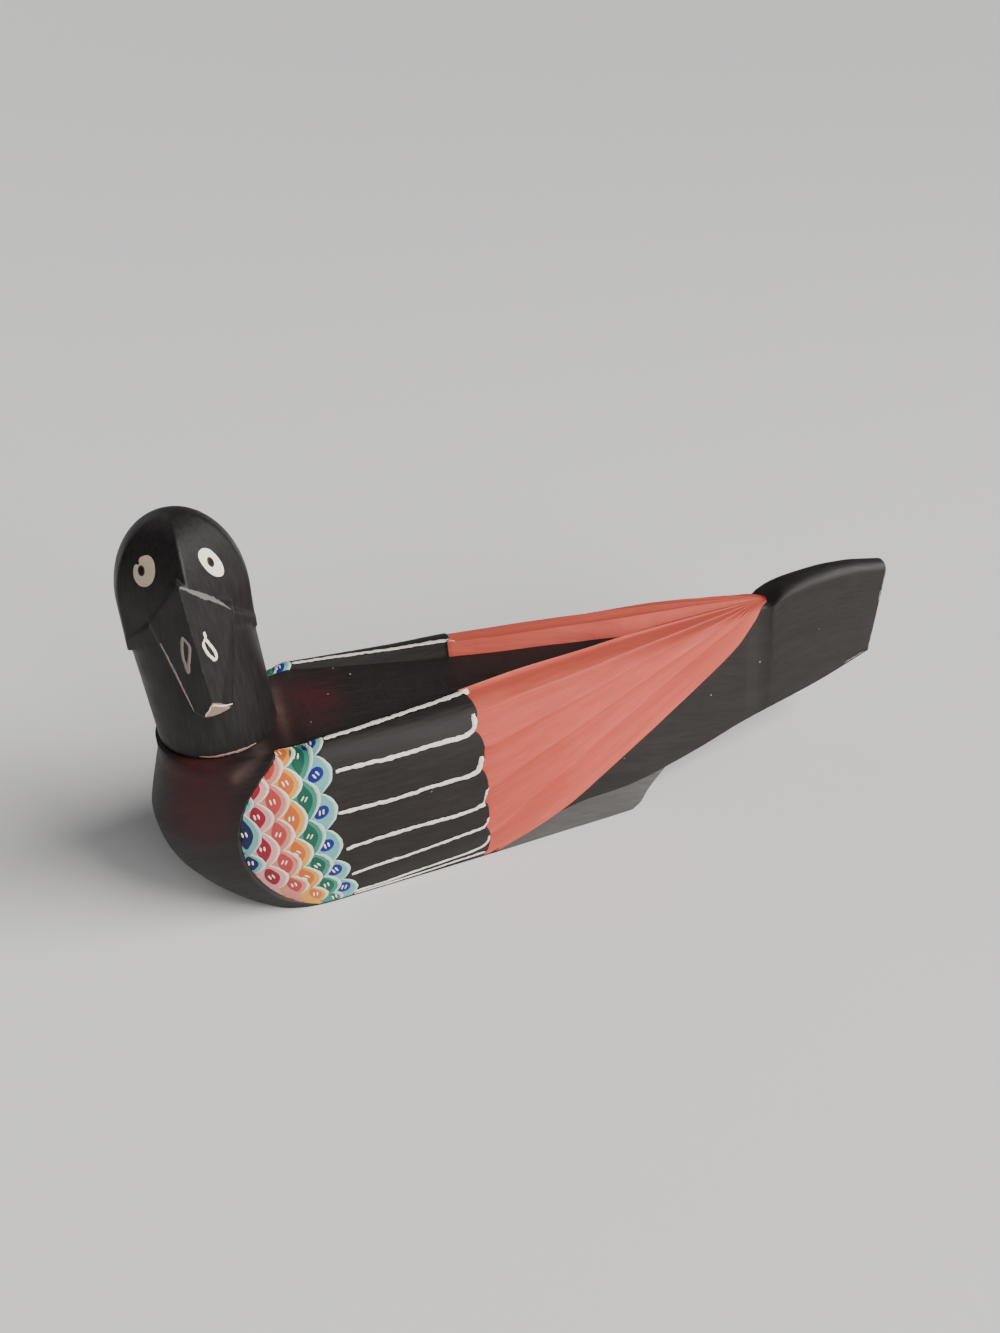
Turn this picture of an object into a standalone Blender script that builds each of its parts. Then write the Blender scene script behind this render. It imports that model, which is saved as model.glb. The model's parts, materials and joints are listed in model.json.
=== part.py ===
"""Carved and painted wooden duck, 300 mm long, in metres with +Z up.

The body, with its wings and tail, is one carving. The head and neck are a second carving, turned to the
bird's left and glued on a round flat seat. The origin is the middle of the bounding box, on the table.
+X points at the tail, -Y is the bird's left side, which the beak points at.
"""

import math

import bmesh
import bpy
import numpy as np
from mathutils import Matrix, Vector

# Overall sizes of the body
BODY_LENGTH = 0.300
BODY_WIDTH = 0.0672
BACK_HEIGHT = 0.067

# Head and neck
NECK_DIAMETER = 0.0387
NECK_TOP_DIAMETER = 0.0382
NECK_OVERLAP = 0.001
NECK_SETBACK = 0.0267
NECK_LEAN = 0.0023
HEAD_DIAMETER = 0.0398
HEAD_SETBACK = 0.0240
HEAD_TOP = 0.1425
DOME_HEIGHT = 0.0265
FACE_DEPTH = 0.0232
NAPE_DEPTH = 0.0203
CHEEK_STEP = 0.0016
JAW_HEIGHT = 0.0988
JAW_TILT = 0.53
FOREHEAD_TURN = math.radians(43)
FOREHEAD_SHARE = 0.86

# Bill: where its keel and its two edges start at the face and end at the tip, from the head's middle
BILL_ROOT = (-0.0023, -0.0229, 0.1288)
BILL_TIP = (0.0011, -0.0290, 0.0845)
BILL_ROOT_EDGES = ((-0.0119, -0.0150, 0.1142), (0.0126, -0.0150, 0.1149))
BILL_TIP_EDGES = ((-0.0050, -0.0233, 0.0862), (0.0069, -0.0231, 0.0862))
BILL_BACK_RISE = 0.0060
BILL_TIP_CUT = math.radians(27)
BILL_TIP_TURN = math.radians(12)
BILL_TIP_CUT_HEIGHT = 0.0920

# Carving on the body
WING_EDGE_STEP = 0.0011
FEATHER_STEP = 0.0005
SCALLOP_DEPTH = 0.0030
SCALLOP_SLANT = 0.0030
FLUTE_DEPTH = 0.0011
FLUTE_FADE = 0.6
BIB_RIM = 0.0016
BIB_FADE = 0.0090
BIB_HEEL = 0.0120
BIB_SHOULDER = 0.1
STEP_RUN = 0.0006

# Fits
GLUE_GAP = 0.0003
SEAT_MARGIN = 0.0015

# Colours
BLACK_PAINT = (0.018, 0.016, 0.016, 1)
DARK_PAINT = (0.012, 0.011, 0.012, 1)

HALF_WIDTH = BODY_WIDTH / 2
NECK_RADIUS = NECK_DIAMETER / 2
HEAD_RADIUS = HEAD_DIAMETER / 2

# The carved form, as shares: stations along the length from the breast (0) to the tail's end (1),
# widths as shares of half the body's width and heights as shares of the back's height
WING_START = 0.182
SCALLOP_STATION = 0.3685
WING_EDGE_START = 0.384
BASE_END = 0.580
BELLY_END = 0.635
WING_TIP = 0.813
SEAT_HEIGHT = 0.955
WING_HEEL = 0.012

RIDGE_WIDTH = ((0.182, 0.700), (0.308, 0.542), (0.375, 0.458), (0.442, 0.354), (0.530, 0.265),
               (0.577, 0.205), (0.652, 0.143), (0.712, 0.104), (0.772, 0.050), (0.813, 0.0))
RIDGE_HEIGHT = ((0.182, 0.985), (0.308, 0.988), (0.400, 1.0), (0.700, 1.0), (0.813, 0.988))
BARREL_WIDTH = ((0.182, 0.994), (0.300, 1.0), (0.368, 1.0), (0.472, 0.940), (0.530, 0.840),
                (0.592, 0.708), (0.652, 0.562), (0.712, 0.438), (0.772, 0.336), (0.813, 0.300))
BARREL_HEIGHT = 0.373
BARREL_BOXINESS = ((0.182, 2.9), (0.368, 3.0), (0.500, 3.3), (0.600, 4.6), (0.675, 6.5), (0.740, 6.0),
                   (0.813, 4.0))
BASE_WIDTH = ((0.182, 0.950), (0.368, 0.917), (0.472, 0.887), (0.580, 0.854), (0.620, 0.735),
              (0.635, 0.690))
BASE_RISE = ((0.580, 0.0), (0.5925, 0.030), (0.603, 0.087), (0.612, 0.119), (0.622, 0.145),
             (0.635, 0.184))
CREASE_WIDTH = ((0.384, 0.912), (0.425, 0.902), (0.515, 0.866), (0.558, 0.833), (0.603, 0.756),
                (0.650, 0.658), (0.728, 0.530), (0.817, 0.405), (0.908, 0.274), (1.0, 0.143))
CREASE_HEIGHT = ((0.384, 0.004), (0.425, 0.078), (0.472, 0.161), (0.515, 0.188), (0.603, 0.180),
                 (0.635, 0.184), (0.690, 0.210), (0.772, 0.282), (0.908, 0.363), (1.0, 0.452))
FLOOR_WIDTH = ((0.182, 0.661), (0.308, 0.494), (0.375, 0.405), (0.442, 0.298), (0.508, 0.214),
               (0.550, 0.134), (0.577, 0.065), (0.597, 0.0))
FLOOR_HEIGHT = ((0.182, 0.966), (0.225, 0.952), (0.308, 0.928), (0.358, 0.916), (0.525, 0.912),
                (0.597, 0.934), (0.653, 0.960), (0.773, 0.981), (0.813, 0.988))
WING_EDGE_HEIGHT = ((0.384, 0.012), (0.453, 0.149), (0.530, 0.319), (0.577, 0.418), (0.652, 0.567),
                    (0.712, 0.706), (0.750, 0.812), (0.777, 0.930), (0.795, 0.983), (0.813, 0.988))
TAIL_TOP = ((0.813, 0.995), (0.819, 1.030), (0.829, 1.063), (0.848, 1.090), (0.880, 1.112),
            (0.912, 1.122), (0.942, 1.119), (0.970, 1.104), (1.0, 1.084))
TAIL_EDGE_WIDTH = ((0.772, 0.200), (0.813, 0.205), (0.850, 0.190), (0.912, 0.167), (1.0, 0.131))
TAIL_EDGE_HEIGHT = ((0.772, 0.865), (0.797, 0.935), (0.813, 0.985), (0.829, 1.012), (0.850, 1.032),
                    (0.880, 1.047), (0.912, 1.058), (0.942, 1.057), (1.0, 1.024))
BREAST_PROFILE = ((0.0, 0.078), (0.060, 0.0560), (0.180, 0.0265), (0.313, 0.0090), (0.440, 0.0020),
                  (0.540, 0.0), (0.636, 0.0045), (0.788, 0.014), (0.903, 0.020), (0.985, 0.0205))
BREAST_BLUNTNESS = ((0.0, 2.7), (0.220, 2.25), (1.0, 2.4))

# The ledge below the eyes, from the face's middle (0) round to the nape (1): its height, and its depth
# as a share of the cheek's step
LEDGE_HEIGHT = ((0.0, 0.1290), (0.22, 0.1165), (0.50, 0.1055), (1.0, 0.1055))
LEDGE_DEPTH = ((0.0, 0.0), (0.14, 0.0), (0.22, 1.0), (0.32, 0.8), (0.50, 0.0), (1.0, 0.0))

# The round edge where the breast's bib overlaps the scales
BIB_STATION = 0.188
BIB_HEIGHT = 0.522
BIB_REACH = 0.1067
BIB_RADIUS = 0.537

# Across the wing, as shares of its outline from the ridge to its lower edge. The flutes' crests are
# given along the wing, from the black feathers (0) to the wing's tip (1), and their depths are shares
FEATHER_EDGES = (0.0, 0.231, 0.434, 0.629, 0.789, 1.0)
FLUTE_CRESTS = (
    ((0.0, 0.0), (1.0, 0.0)),
    ((0.0, 0.145), (0.5, 0.168), (1.0, 0.100)),
    ((0.0, 0.321), (0.5, 0.300), (0.7, 0.281), (1.0, 0.200)),
    ((0.0, 0.556), (0.15, 0.506), (0.5, 0.451), (0.7, 0.401), (1.0, 0.290)),
    ((0.0, 0.860), (0.15, 0.754), (0.33, 0.684), (0.5, 0.632), (0.7, 0.544), (1.0, 0.360)),
    ((0.0, 1.0), (1.0, 1.0)),
)
FLUTE_DEPTHS = (0.7, 0.9, 1.0, 1.0, 0.3)
FLUTE_STEPS = 4

# Facets
BREAST_STEPS = 9
SCALE_STEPS = 13
EDGE_STEPS = 10
REAR_STEPS = 11
TAIL_STEPS = 11
ROUND_STEPS = 3
TURNED_STEPS = 44
ROUND_HEAD_STEPS = 40
DOME_STEPS = 9
SECTION_SAMPLES = 60


def curve(points, at):
    """The smooth curve through the points, without overshoot, at one place. It is level past its ends."""
    places = [p[0] for p in points]
    values = [p[1] for p in points]
    if at <= places[0]:
        return values[0]
    if at >= places[-1]:
        return values[-1]
    runs = np.diff(places)
    slopes = np.diff(values) / runs
    tangents = [slopes[0]]
    for i in range(1, len(points) - 1):
        before, after = slopes[i - 1], slopes[i]
        same_way = before * after > 0
        tangents.append(2 * before * after / (before + after) if same_way else 0.0)
    tangents.append(slopes[-1])
    i = int(np.searchsorted(places, at, side="right")) - 1
    t = (at - places[i]) / runs[i]
    return (
        values[i] * (1 + 2 * t) * (1 - t) ** 2
        + tangents[i] * runs[i] * t * (1 - t) ** 2
        + values[i + 1] * t * t * (3 - 2 * t)
        + tangents[i + 1] * runs[i] * t * t * (t - 1)
    )


def wing_shares(along):
    """The wing's lines at a place along it, as shares across: each flute's crest and the lines below it."""
    shares = []
    for upper, lower in zip(FLUTE_CRESTS, FLUTE_CRESTS[1:]):
        start = curve(upper, along)
        end = curve(lower, along)
        shares += [start + (end - start) * step / FLUTE_STEPS for step in range(FLUTE_STEPS)]
    return shares + [1.0]


FRONT_SHARES = wing_shares(0)
RIDGE = 2
WING_EDGE = RIDGE + len(FRONT_SHARES) - 1
FOOT = WING_EDGE + 1
TAIL_EDGE = FOOT + ROUND_STEPS
CREASE = TAIL_EDGE + 2
BASE_EDGE = CREASE + 1
BASE_MIDDLE = BASE_EDGE + 1


def barrel(station, edge_height):
    """The body's round side at a station, from the ridge down to a height, as (width, height) points."""
    ridge_y = HALF_WIDTH * curve(RIDGE_WIDTH, station)
    ridge_z = BACK_HEIGHT * curve(RIDGE_HEIGHT, station)
    widest = HALF_WIDTH * curve(BARREL_WIDTH, station)
    base = min(HALF_WIDTH * curve(BASE_WIDTH, station), widest)
    middle = BACK_HEIGHT * BARREL_HEIGHT
    power = 2 / curve(BARREL_BOXINESS, station)
    points = []
    for angle in np.linspace(0, math.pi / 2, SECTION_SAMPLES):
        y = ridge_y + (widest - ridge_y) * math.sin(angle) ** power
        z = middle + (ridge_z - middle) * math.cos(angle) ** power
        points.append((y, z))
    for share in np.linspace(0, 1, SECTION_SAMPLES)[1:]:
        points.append((widest - (widest - base) * share**2, middle * (1 - share)))
    points = np.array(points)
    kept = points[points[:, 1] > edge_height]
    last = [np.interp(-edge_height, -points[:, 1], points[:, 0]), edge_height]
    return np.vstack([kept, last])


def spread(points, shares):
    """Points at these shares of a line's length."""
    walked = np.concatenate([[0], np.cumsum(np.hypot(*np.diff(points, axis=0).T))])
    targets = np.array(shares) * walked[-1]
    return np.column_stack([np.interp(targets, walked, points[:, i]) for i in (0, 1)])


def top_lines(station, ridge):
    """The middle of the back and the edge of its floor."""
    floor_z = BACK_HEIGHT * curve(FLOOR_HEIGHT, station)
    edge_y = min(HALF_WIDTH * curve(FLOOR_WIDTH, station), ridge[0])
    return [(0.0, floor_z), (edge_y, floor_z)]


def side_lines(station, wing_edge):
    """The tail's side below the wing's edge, its crease, the belly and half the base."""
    base_y = HALF_WIDTH * curve(BASE_WIDTH, station)
    if station <= WING_EDGE_START:
        return [(base_y, 0.0)] * (BASE_EDGE - FOOT + 1) + [(0.0, 0.0)]
    crease = (HALF_WIDTH * curve(CREASE_WIDTH, station), BACK_HEIGHT * curve(CREASE_HEIGHT, station))
    if station >= WING_TIP:
        foot = (0.0, BACK_HEIGHT * curve(TAIL_TOP, station))
    else:
        start = min((station - WING_EDGE_START) / (0.1 * WING_EDGE_START), 1)
        foot = (max(wing_edge[0] - WING_EDGE_STEP * start, 0.0), wing_edge[1])
    rounding = min(max((station - TAIL_EDGE_WIDTH[0][0]) / (WING_TIP - TAIL_EDGE_WIDTH[0][0]), 0), 1)
    tail_edge = (
        HALF_WIDTH * curve(TAIL_EDGE_WIDTH, station) * rounding + foot[0] * (1 - rounding),
        BACK_HEIGHT * curve(TAIL_EDGE_HEIGHT, station) * rounding + foot[1] * (1 - rounding),
    )
    lines = [foot]
    for step in range(1, ROUND_STEPS + 1):
        angle = step / ROUND_STEPS * math.pi / 2
        y = foot[0] + (tail_edge[0] - foot[0]) * math.sin(angle)
        z = tail_edge[1] + (foot[1] - tail_edge[1]) * math.cos(angle)
        lines.append((y, z))
    lines.append(((tail_edge[0] + crease[0]) / 2, (tail_edge[1] + crease[1]) / 2))
    lines.append(crease)
    if station < BELLY_END:
        low = BACK_HEIGHT * curve(BASE_RISE, station)
        lines += [(base_y, low), (0.0, low)]
    else:
        lines += [crease, (0.0, crease[1])]
    return lines


def section(station):
    """Half the body's cross-section, from the middle of its back to the middle of its base."""
    if station >= WING_TIP:
        sides = side_lines(station, None)
        return np.array([sides[0]] * FOOT + sides)
    heel = WING_HEEL if station <= WING_EDGE_START else curve(WING_EDGE_HEIGHT, station)
    along = max((station - SCALLOP_STATION) / (WING_TIP - SCALLOP_STATION), 0)
    wing = spread(barrel(station, BACK_HEIGHT * heel), wing_shares(along))
    lines = top_lines(station, wing[0]) + [tuple(p) for p in wing] + side_lines(station, wing[-1])
    return np.array(lines)


SHOULDER = section(WING_START)


def seat_end():
    """The station where the flat seat under the neck ends."""
    return (NECK_SETBACK + NECK_RADIUS + SEAT_MARGIN) / BODY_LENGTH


def front_height(line, station):
    """A line's height ahead of the wings: the top comes down to the level seat under the neck."""
    rise = min(max((station - seat_end()) / (WING_START - seat_end()), 0), 1)
    rise = rise * rise * (3 - 2 * rise)
    top = SHOULDER[RIDGE][1]
    seat = BACK_HEIGHT * SEAT_HEIGHT
    if line < RIDGE:
        return seat + (SHOULDER[line][1] - seat) * rise
    return SHOULDER[line][1] * (seat + (top - seat) * rise) / top


def breast_point(line, angle):
    """A point ahead of the wings. The angle goes from 0 at the shoulder to 90 degrees at the breast."""
    height = SHOULDER[line][1] / BACK_HEIGHT
    nose = curve(BREAST_PROFILE, height)
    power = 2 / curve(BREAST_BLUNTNESS, height)
    station = WING_START - (WING_START - nose) * math.sin(angle) ** power
    y = SHOULDER[line][0] * max(math.cos(angle), 0) ** power
    return station, y, front_height(line, station)


def breast_angle(line, station):
    """The angle at which a line reaches a station."""
    height = SHOULDER[line][1] / BACK_HEIGHT
    nose = curve(BREAST_PROFILE, height)
    power = 2 / curve(BREAST_BLUNTNESS, height)
    share = min(max((WING_START - station) / (WING_START - nose), 0), 1)
    return math.asin(share ** (1 / power))


def bib_edge(line):
    """The station of the bib's round edge on a line."""
    height = (SHOULDER[line][1] / BACK_HEIGHT - BIB_HEIGHT) / BIB_RADIUS
    return BIB_STATION - BIB_REACH * math.sqrt(max(1 - height**2, 0.02))


def scallop_edge(share):
    """The station where the black feathers end, with a round end on each feather."""
    for start, end in zip(FEATHER_EDGES, FEATHER_EDGES[1:]):
        if share <= end:
            across = 2 * (share - start) / (end - start) - 1
            break
    reach = math.sqrt(max(1 - across**2, 0.0))
    rear = SCALLOP_DEPTH * (reach - 1) + SCALLOP_SLANT * (share - 0.5)
    return SCALLOP_STATION + rear / BODY_LENGTH


def point_at(line, station):
    """The smooth body's point on one line, as x, y and z."""
    if station < WING_START:
        _, y, z = breast_point(line, breast_angle(line, station))
    else:
        y, z = section(station)[line]
    return (station - 0.5) * BODY_LENGTH, y, z


def rear_stations():
    """The lower lines' stations behind the black feathers, with one at each corner of the outline."""
    rise = [p[0] for p in BASE_RISE]
    stations = [WING_EDGE_START]
    stations += list(np.linspace(WING_EDGE_START, BASE_END, EDGE_STEPS + 1)[1:])
    stations += rise[1:]
    stations += list(np.linspace(BELLY_END, WING_TIP, REAR_STEPS + 1)[1:])
    return stations


def flute(line):
    """The depth across the wing, 0 on a crest and most in the middle of a flute."""
    number, step = divmod(line - RIDGE, FLUTE_STEPS)
    if step == 0:
        return 0.0
    return FLUTE_DEPTHS[number] * (1 - (2 * step / FLUTE_STEPS - 1) ** 2)


def line_points(line):
    """One line of the body from the breast to the tail's end, as points and the relief's height at each."""
    on_wing = RIDGE <= line <= WING_EDGE
    share = FRONT_SHARES[line - RIDGE] if on_wing else float(line > WING_EDGE)
    edge = bib_edge(line)
    scallop = scallop_edge(share)
    run = STEP_RUN / BODY_LENGTH
    points = []
    relief = []
    start = breast_angle(line, edge)
    for step in range(BREAST_STEPS + 1):
        station, y, z = breast_point(line, math.pi / 2 + (start - math.pi / 2) * step / BREAST_STEPS)
        points.append(((station - 0.5) * BODY_LENGTH, y, z))
        fade = math.exp(-(edge - station) * BODY_LENGTH / BIB_FADE) if on_wing else 0.0
        relief.append(BIB_RIM * fade * min(z / BIB_HEEL, share / BIB_SHOULDER, 1))
    for step in range(SCALE_STEPS + 1):
        station = edge + run + (scallop - edge - run) * step / SCALE_STEPS
        points.append(point_at(line, station))
        relief.append(0.0)
    first = rear_stations()[0]
    for rear in rear_stations():
        along = (rear - first) / (WING_TIP - first)
        station = scallop + run + (WING_TIP - scallop - run) * along if line <= WING_EDGE else rear
        points.append(point_at(line, station))
        carved = RIDGE <= line < WING_EDGE
        fade = (1 - along) ** FLUTE_FADE
        relief.append(-fade * (FEATHER_STEP + FLUTE_DEPTH * flute(line)) if carved else 0.0)
    for step in range(1, TAIL_STEPS + 1):
        points.append(point_at(line, WING_TIP + (1 - WING_TIP) * step / TAIL_STEPS))
        relief.append(0.0)
    return points, relief


def raised(grid, relief):
    """The grid with each point moved along its normal by the relief."""
    along = np.gradient(grid, axis=0)
    across = np.gradient(grid, axis=1)
    normals = np.cross(across, along)
    lengths = np.linalg.norm(normals, axis=2, keepdims=True)
    normals = np.where(lengths > 1e-12, normals / np.maximum(lengths, 1e-12), 0)
    outward = np.where(normals[..., 1:2] < 0, -1, 1)
    moved = grid + normals * outward * relief[..., None]
    moved[:, 0, 1] = 0
    moved[:, -1, 1] = 0
    moved[0, :, 1] = 0
    return moved


def material(name, colour, roughness):
    made = bpy.data.materials.new(name)
    made.use_nodes = True
    shader = made.node_tree.nodes["Principled BSDF"]
    shader.inputs["Base Color"].default_value = colour
    shader.inputs["Roughness"].default_value = roughness
    shader.inputs["Metallic"].default_value = 0.0
    made.diffuse_color = colour
    return made


def collection(name):
    made = bpy.data.collections.new(name)
    bpy.context.scene.collection.children.link(made)
    return made


def mesh_object(name, mesh, home):
    made = bpy.data.objects.new(name, mesh)
    home.objects.link(made)
    return made


def make_body(home):
    """The body, wings and tail: a loft of half-sections, mirrored, with flat caps."""
    lines = [line_points(line) for line in range(BASE_MIDDLE + 1)]
    grid = np.array([points for points, _ in lines]).transpose(1, 0, 2)
    relief = np.array([heights for _, heights in lines]).T
    grid = raised(grid, relief)
    rows, columns = grid.shape[:2]
    shape = bmesh.new()
    for side in (1, -1):
        verts = [[shape.verts.new((x, side * y, z)) for x, y, z in row] for row in grid]
        for i in range(rows - 1):
            for j in range(columns - 1):
                quad = (verts[i][j], verts[i + 1][j], verts[i + 1][j + 1], verts[i][j + 1])
                shape.faces.new(quad if side > 0 else quad[::-1])
    bmesh.ops.remove_doubles(shape, verts=shape.verts, dist=1e-5)
    bmesh.ops.dissolve_degenerate(shape, dist=1e-6, edges=shape.edges)
    rim = [edge for edge in shape.edges if edge.is_boundary]
    bmesh.ops.contextual_create(shape, geom=rim)
    bmesh.ops.triangulate(shape, faces=shape.faces)
    bmesh.ops.recalc_face_normals(shape, faces=shape.faces)
    mesh = bpy.data.meshes.new("body")
    shape.to_mesh(mesh)
    shape.free()
    made = mesh_object("body", mesh, home)
    mesh.materials.append(material("black painted wood", BLACK_PAINT, 0.45))
    return made


def lofted(name, rings, home):
    """A closed solid through rings of points, listed from bottom to top, with a flat face at each end."""
    shape = bmesh.new()
    rows = [[shape.verts.new(point) for point in ring] for ring in rings]
    count = len(rows[0])
    for lower, upper in zip(rows, rows[1:]):
        for i in range(count):
            after = (i + 1) % count
            shape.faces.new((lower[i], lower[after], upper[after], upper[i]))
    shape.faces.new(rows[0])
    shape.faces.new(rows[-1])
    bmesh.ops.remove_doubles(shape, verts=shape.verts, dist=1e-5)
    bmesh.ops.recalc_face_normals(shape, faces=shape.faces)
    mesh = bpy.data.meshes.new(name)
    shape.to_mesh(mesh)
    shape.free()
    return mesh_object(name, mesh, home)


def block(name, size, place, turn, home):
    """A box, moved so that the middle of its lower face is at its place and then turned about it."""
    mesh = bpy.data.meshes.new(name)
    shape = bmesh.new()
    bmesh.ops.create_cube(shape, size=1, matrix=Matrix.Diagonal((*size, 1)))
    bmesh.ops.translate(shape, verts=shape.verts, vec=(0, 0, size[2] / 2))
    shape.to_mesh(mesh)
    shape.free()
    made = mesh_object(name, mesh, home)
    made.matrix_world = Matrix.Translation(place) @ turn
    return made


def facing(normal):
    """The turn that points a block's up axis along a normal."""
    return Vector(normal).to_track_quat("Z", "Y").to_matrix().to_4x4()


def make_bill(middle, home):
    """The bill: a gable roof that narrows from the face down to its tip, standing out from the neck."""
    points = [BILL_ROOT, BILL_TIP, *BILL_ROOT_EDGES, *BILL_TIP_EDGES]
    points += [(x, 0, z + BILL_BACK_RISE) for x, _, z in (BILL_ROOT, *BILL_ROOT_EDGES)]
    points += [(x, 0, z) for x, _, z in BILL_TIP_EDGES]
    shape = bmesh.new()
    for x, y, z in points:
        shape.verts.new((middle + x, y, z))
    bmesh.ops.convex_hull(shape, input=shape.verts)
    bmesh.ops.recalc_face_normals(shape, faces=shape.faces)
    mesh = bpy.data.meshes.new("bill")
    shape.to_mesh(mesh)
    shape.free()
    return mesh_object("bill", mesh, home)


def boolean(target, other, operation):
    cut = target.modifiers.new(f"{operation.lower()} {other.name}", "BOOLEAN")
    cut.operation = operation
    cut.solver = "EXACT"
    cut.object = other


def head_point(turn, height):
    """A point of the head, from its middle. The turn goes from 0 at the face to 180 degrees at the nape."""
    rise = max(height - HEAD_TOP + DOME_HEIGHT, 0) / DOME_HEIGHT
    size = math.sqrt(max(1 - rise**2, 0))
    depth = FACE_DEPTH if math.cos(turn) > 0 else NAPE_DEPTH
    x = HEAD_RADIUS * size * math.sin(turn)
    y = depth * size * math.cos(turn)
    side = -1 if x < 0 else 1
    reach = abs(x) * math.sin(FOREHEAD_TURN) + y * math.cos(FOREHEAD_TURN)
    excess = max(reach - FOREHEAD_SHARE * HEAD_RADIUS * size, 0)
    return x - side * excess * math.sin(FOREHEAD_TURN), -(y - excess * math.cos(FOREHEAD_TURN))


def make_skull(middle, home):
    """The head without its bill: a dome whose forehead is flattened into two facets, above a ledge."""
    low = JAW_HEIGHT - 2 * NAPE_DEPTH * JAW_TILT
    rings = [[] for _ in range(DOME_STEPS + 3)]
    for step in range(ROUND_HEAD_STEPS):
        turn = 2 * math.pi * step / ROUND_HEAD_STEPS
        around = min(turn, 2 * math.pi - turn) / math.pi
        ledge = curve(LEDGE_HEIGHT, around)
        cheek = CHEEK_STEP * curve(LEDGE_DEPTH, around)
        heights = [low, ledge - CHEEK_STEP]
        for level in range(DOME_STEPS + 1):
            heights.append(ledge + (HEAD_TOP - ledge) * math.sin(math.pi / 2 * level / DOME_STEPS))
        for ring, height in zip(rings, heights):
            x, y = head_point(turn, height)
            if height < ledge:
                x += cheek * math.sin(turn)
                y -= cheek * math.cos(turn)
            ring.append((middle + x, y, height))
    return lofted("head", rings[:-1] + [[(middle, 0, HEAD_TOP)] * ROUND_HEAD_STEPS], home)


def make_neck(home):
    """The neck: a round post that leans a little to the breast and narrows a little to the head."""
    seat = BACK_HEIGHT * SEAT_HEIGHT + GLUE_GAP
    jaw = JAW_HEIGHT + NECK_OVERLAP
    middle = NECK_SETBACK - BODY_LENGTH / 2
    rings = []
    ends = ((seat, 0, middle, NECK_RADIUS), (jaw, JAW_TILT, middle - NECK_LEAN, NECK_TOP_DIAMETER / 2))
    for height, tilt, x, radius in ends:
        ring = []
        for step in range(TURNED_STEPS):
            turn = 2 * math.pi * step / TURNED_STEPS
            y = -radius * math.cos(turn)
            ring.append((x + radius * math.sin(turn), y, height - tilt * y))
        rings.append(ring)
    return lofted("head_and_neck", rings, home)


def make_head(home, cutters):
    """The head and neck, one carving: a round neck, a domed head with chiselled facets, and the bill."""
    middle = HEAD_SETBACK - BODY_LENGTH / 2
    size = (3 * BODY_WIDTH, 3 * BODY_WIDTH, BODY_WIDTH)
    made = make_neck(home)
    head = make_skull(middle, cutters)
    jaw = facing((0, -JAW_TILT, -1))
    boolean(head, block("jaw cut", size, (middle, 0, JAW_HEIGHT), jaw, cutters), "DIFFERENCE")
    bill = make_bill(middle, cutters)
    level = math.cos(BILL_TIP_CUT)
    tip = facing((level * math.sin(BILL_TIP_TURN), -level * math.cos(BILL_TIP_TURN), -math.sin(BILL_TIP_CUT)))
    place = (middle, BILL_TIP[1], BILL_TIP_CUT_HEIGHT)
    boolean(bill, block("cut across the bill tip", size, place, tip, cutters), "DIFFERENCE")
    boolean(made, head, "UNION")
    boolean(made, bill, "UNION")
    made.data.materials.append(material("dark painted wood", DARK_PAINT, 0.4))
    return made


def main():
    for old in list(bpy.data.objects):
        bpy.data.objects.remove(old, do_unlink=True)
    carving = collection("carved wooden duck")
    cutters = collection("cutters")
    make_body(carving)
    make_head(carving, cutters)
    cutters.hide_render = True
    for cutter in cutters.objects:
        cutter.hide_render = True
        cutter.display_type = "WIRE"


main()
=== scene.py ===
"""The looks of a carved and painted wooden duck, around its CAD frame. Metres, +Z up, +X to the tail."""

import json
import math

import bmesh
import bpy
import numpy as np
from mathutils import Matrix, Vector, noise
from mathutils.bvhtree import BVHTree

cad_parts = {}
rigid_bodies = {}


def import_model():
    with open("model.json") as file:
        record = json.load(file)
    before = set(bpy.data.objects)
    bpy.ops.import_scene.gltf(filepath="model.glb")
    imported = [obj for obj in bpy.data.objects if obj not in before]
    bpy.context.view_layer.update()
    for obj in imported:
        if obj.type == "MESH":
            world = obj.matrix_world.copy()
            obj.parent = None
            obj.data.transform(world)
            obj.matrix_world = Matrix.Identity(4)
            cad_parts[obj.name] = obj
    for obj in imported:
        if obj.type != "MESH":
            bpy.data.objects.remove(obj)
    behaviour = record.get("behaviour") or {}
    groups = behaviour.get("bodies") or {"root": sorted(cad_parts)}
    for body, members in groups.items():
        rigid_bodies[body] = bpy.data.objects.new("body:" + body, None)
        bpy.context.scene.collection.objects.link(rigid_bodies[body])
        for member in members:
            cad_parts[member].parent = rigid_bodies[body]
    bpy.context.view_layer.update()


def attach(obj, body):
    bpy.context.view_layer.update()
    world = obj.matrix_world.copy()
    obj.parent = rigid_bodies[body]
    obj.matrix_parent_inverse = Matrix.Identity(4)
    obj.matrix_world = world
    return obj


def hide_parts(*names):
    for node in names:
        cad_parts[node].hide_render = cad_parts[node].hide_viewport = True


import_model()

# Overall sizes of the body
BODY_LENGTH = 0.300
BODY_WIDTH = 0.0672
BACK_HEIGHT = 0.067

# Head and neck
NECK_DIAMETER = 0.0387
NECK_TOP_DIAMETER = 0.0382
NECK_OVERLAP = 0.001
NECK_SETBACK = 0.0267
NECK_LEAN = 0.0023
HEAD_DIAMETER = 0.0398
HEAD_SETBACK = 0.0240
HEAD_TOP = 0.1425
DOME_HEIGHT = 0.0265
FACE_DEPTH = 0.0232
NAPE_DEPTH = 0.0203
CHEEK_STEP = 0.0016
JAW_HEIGHT = 0.0988
JAW_TILT = 0.53
FOREHEAD_TURN = math.radians(43)
FOREHEAD_SHARE = 0.86

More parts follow.
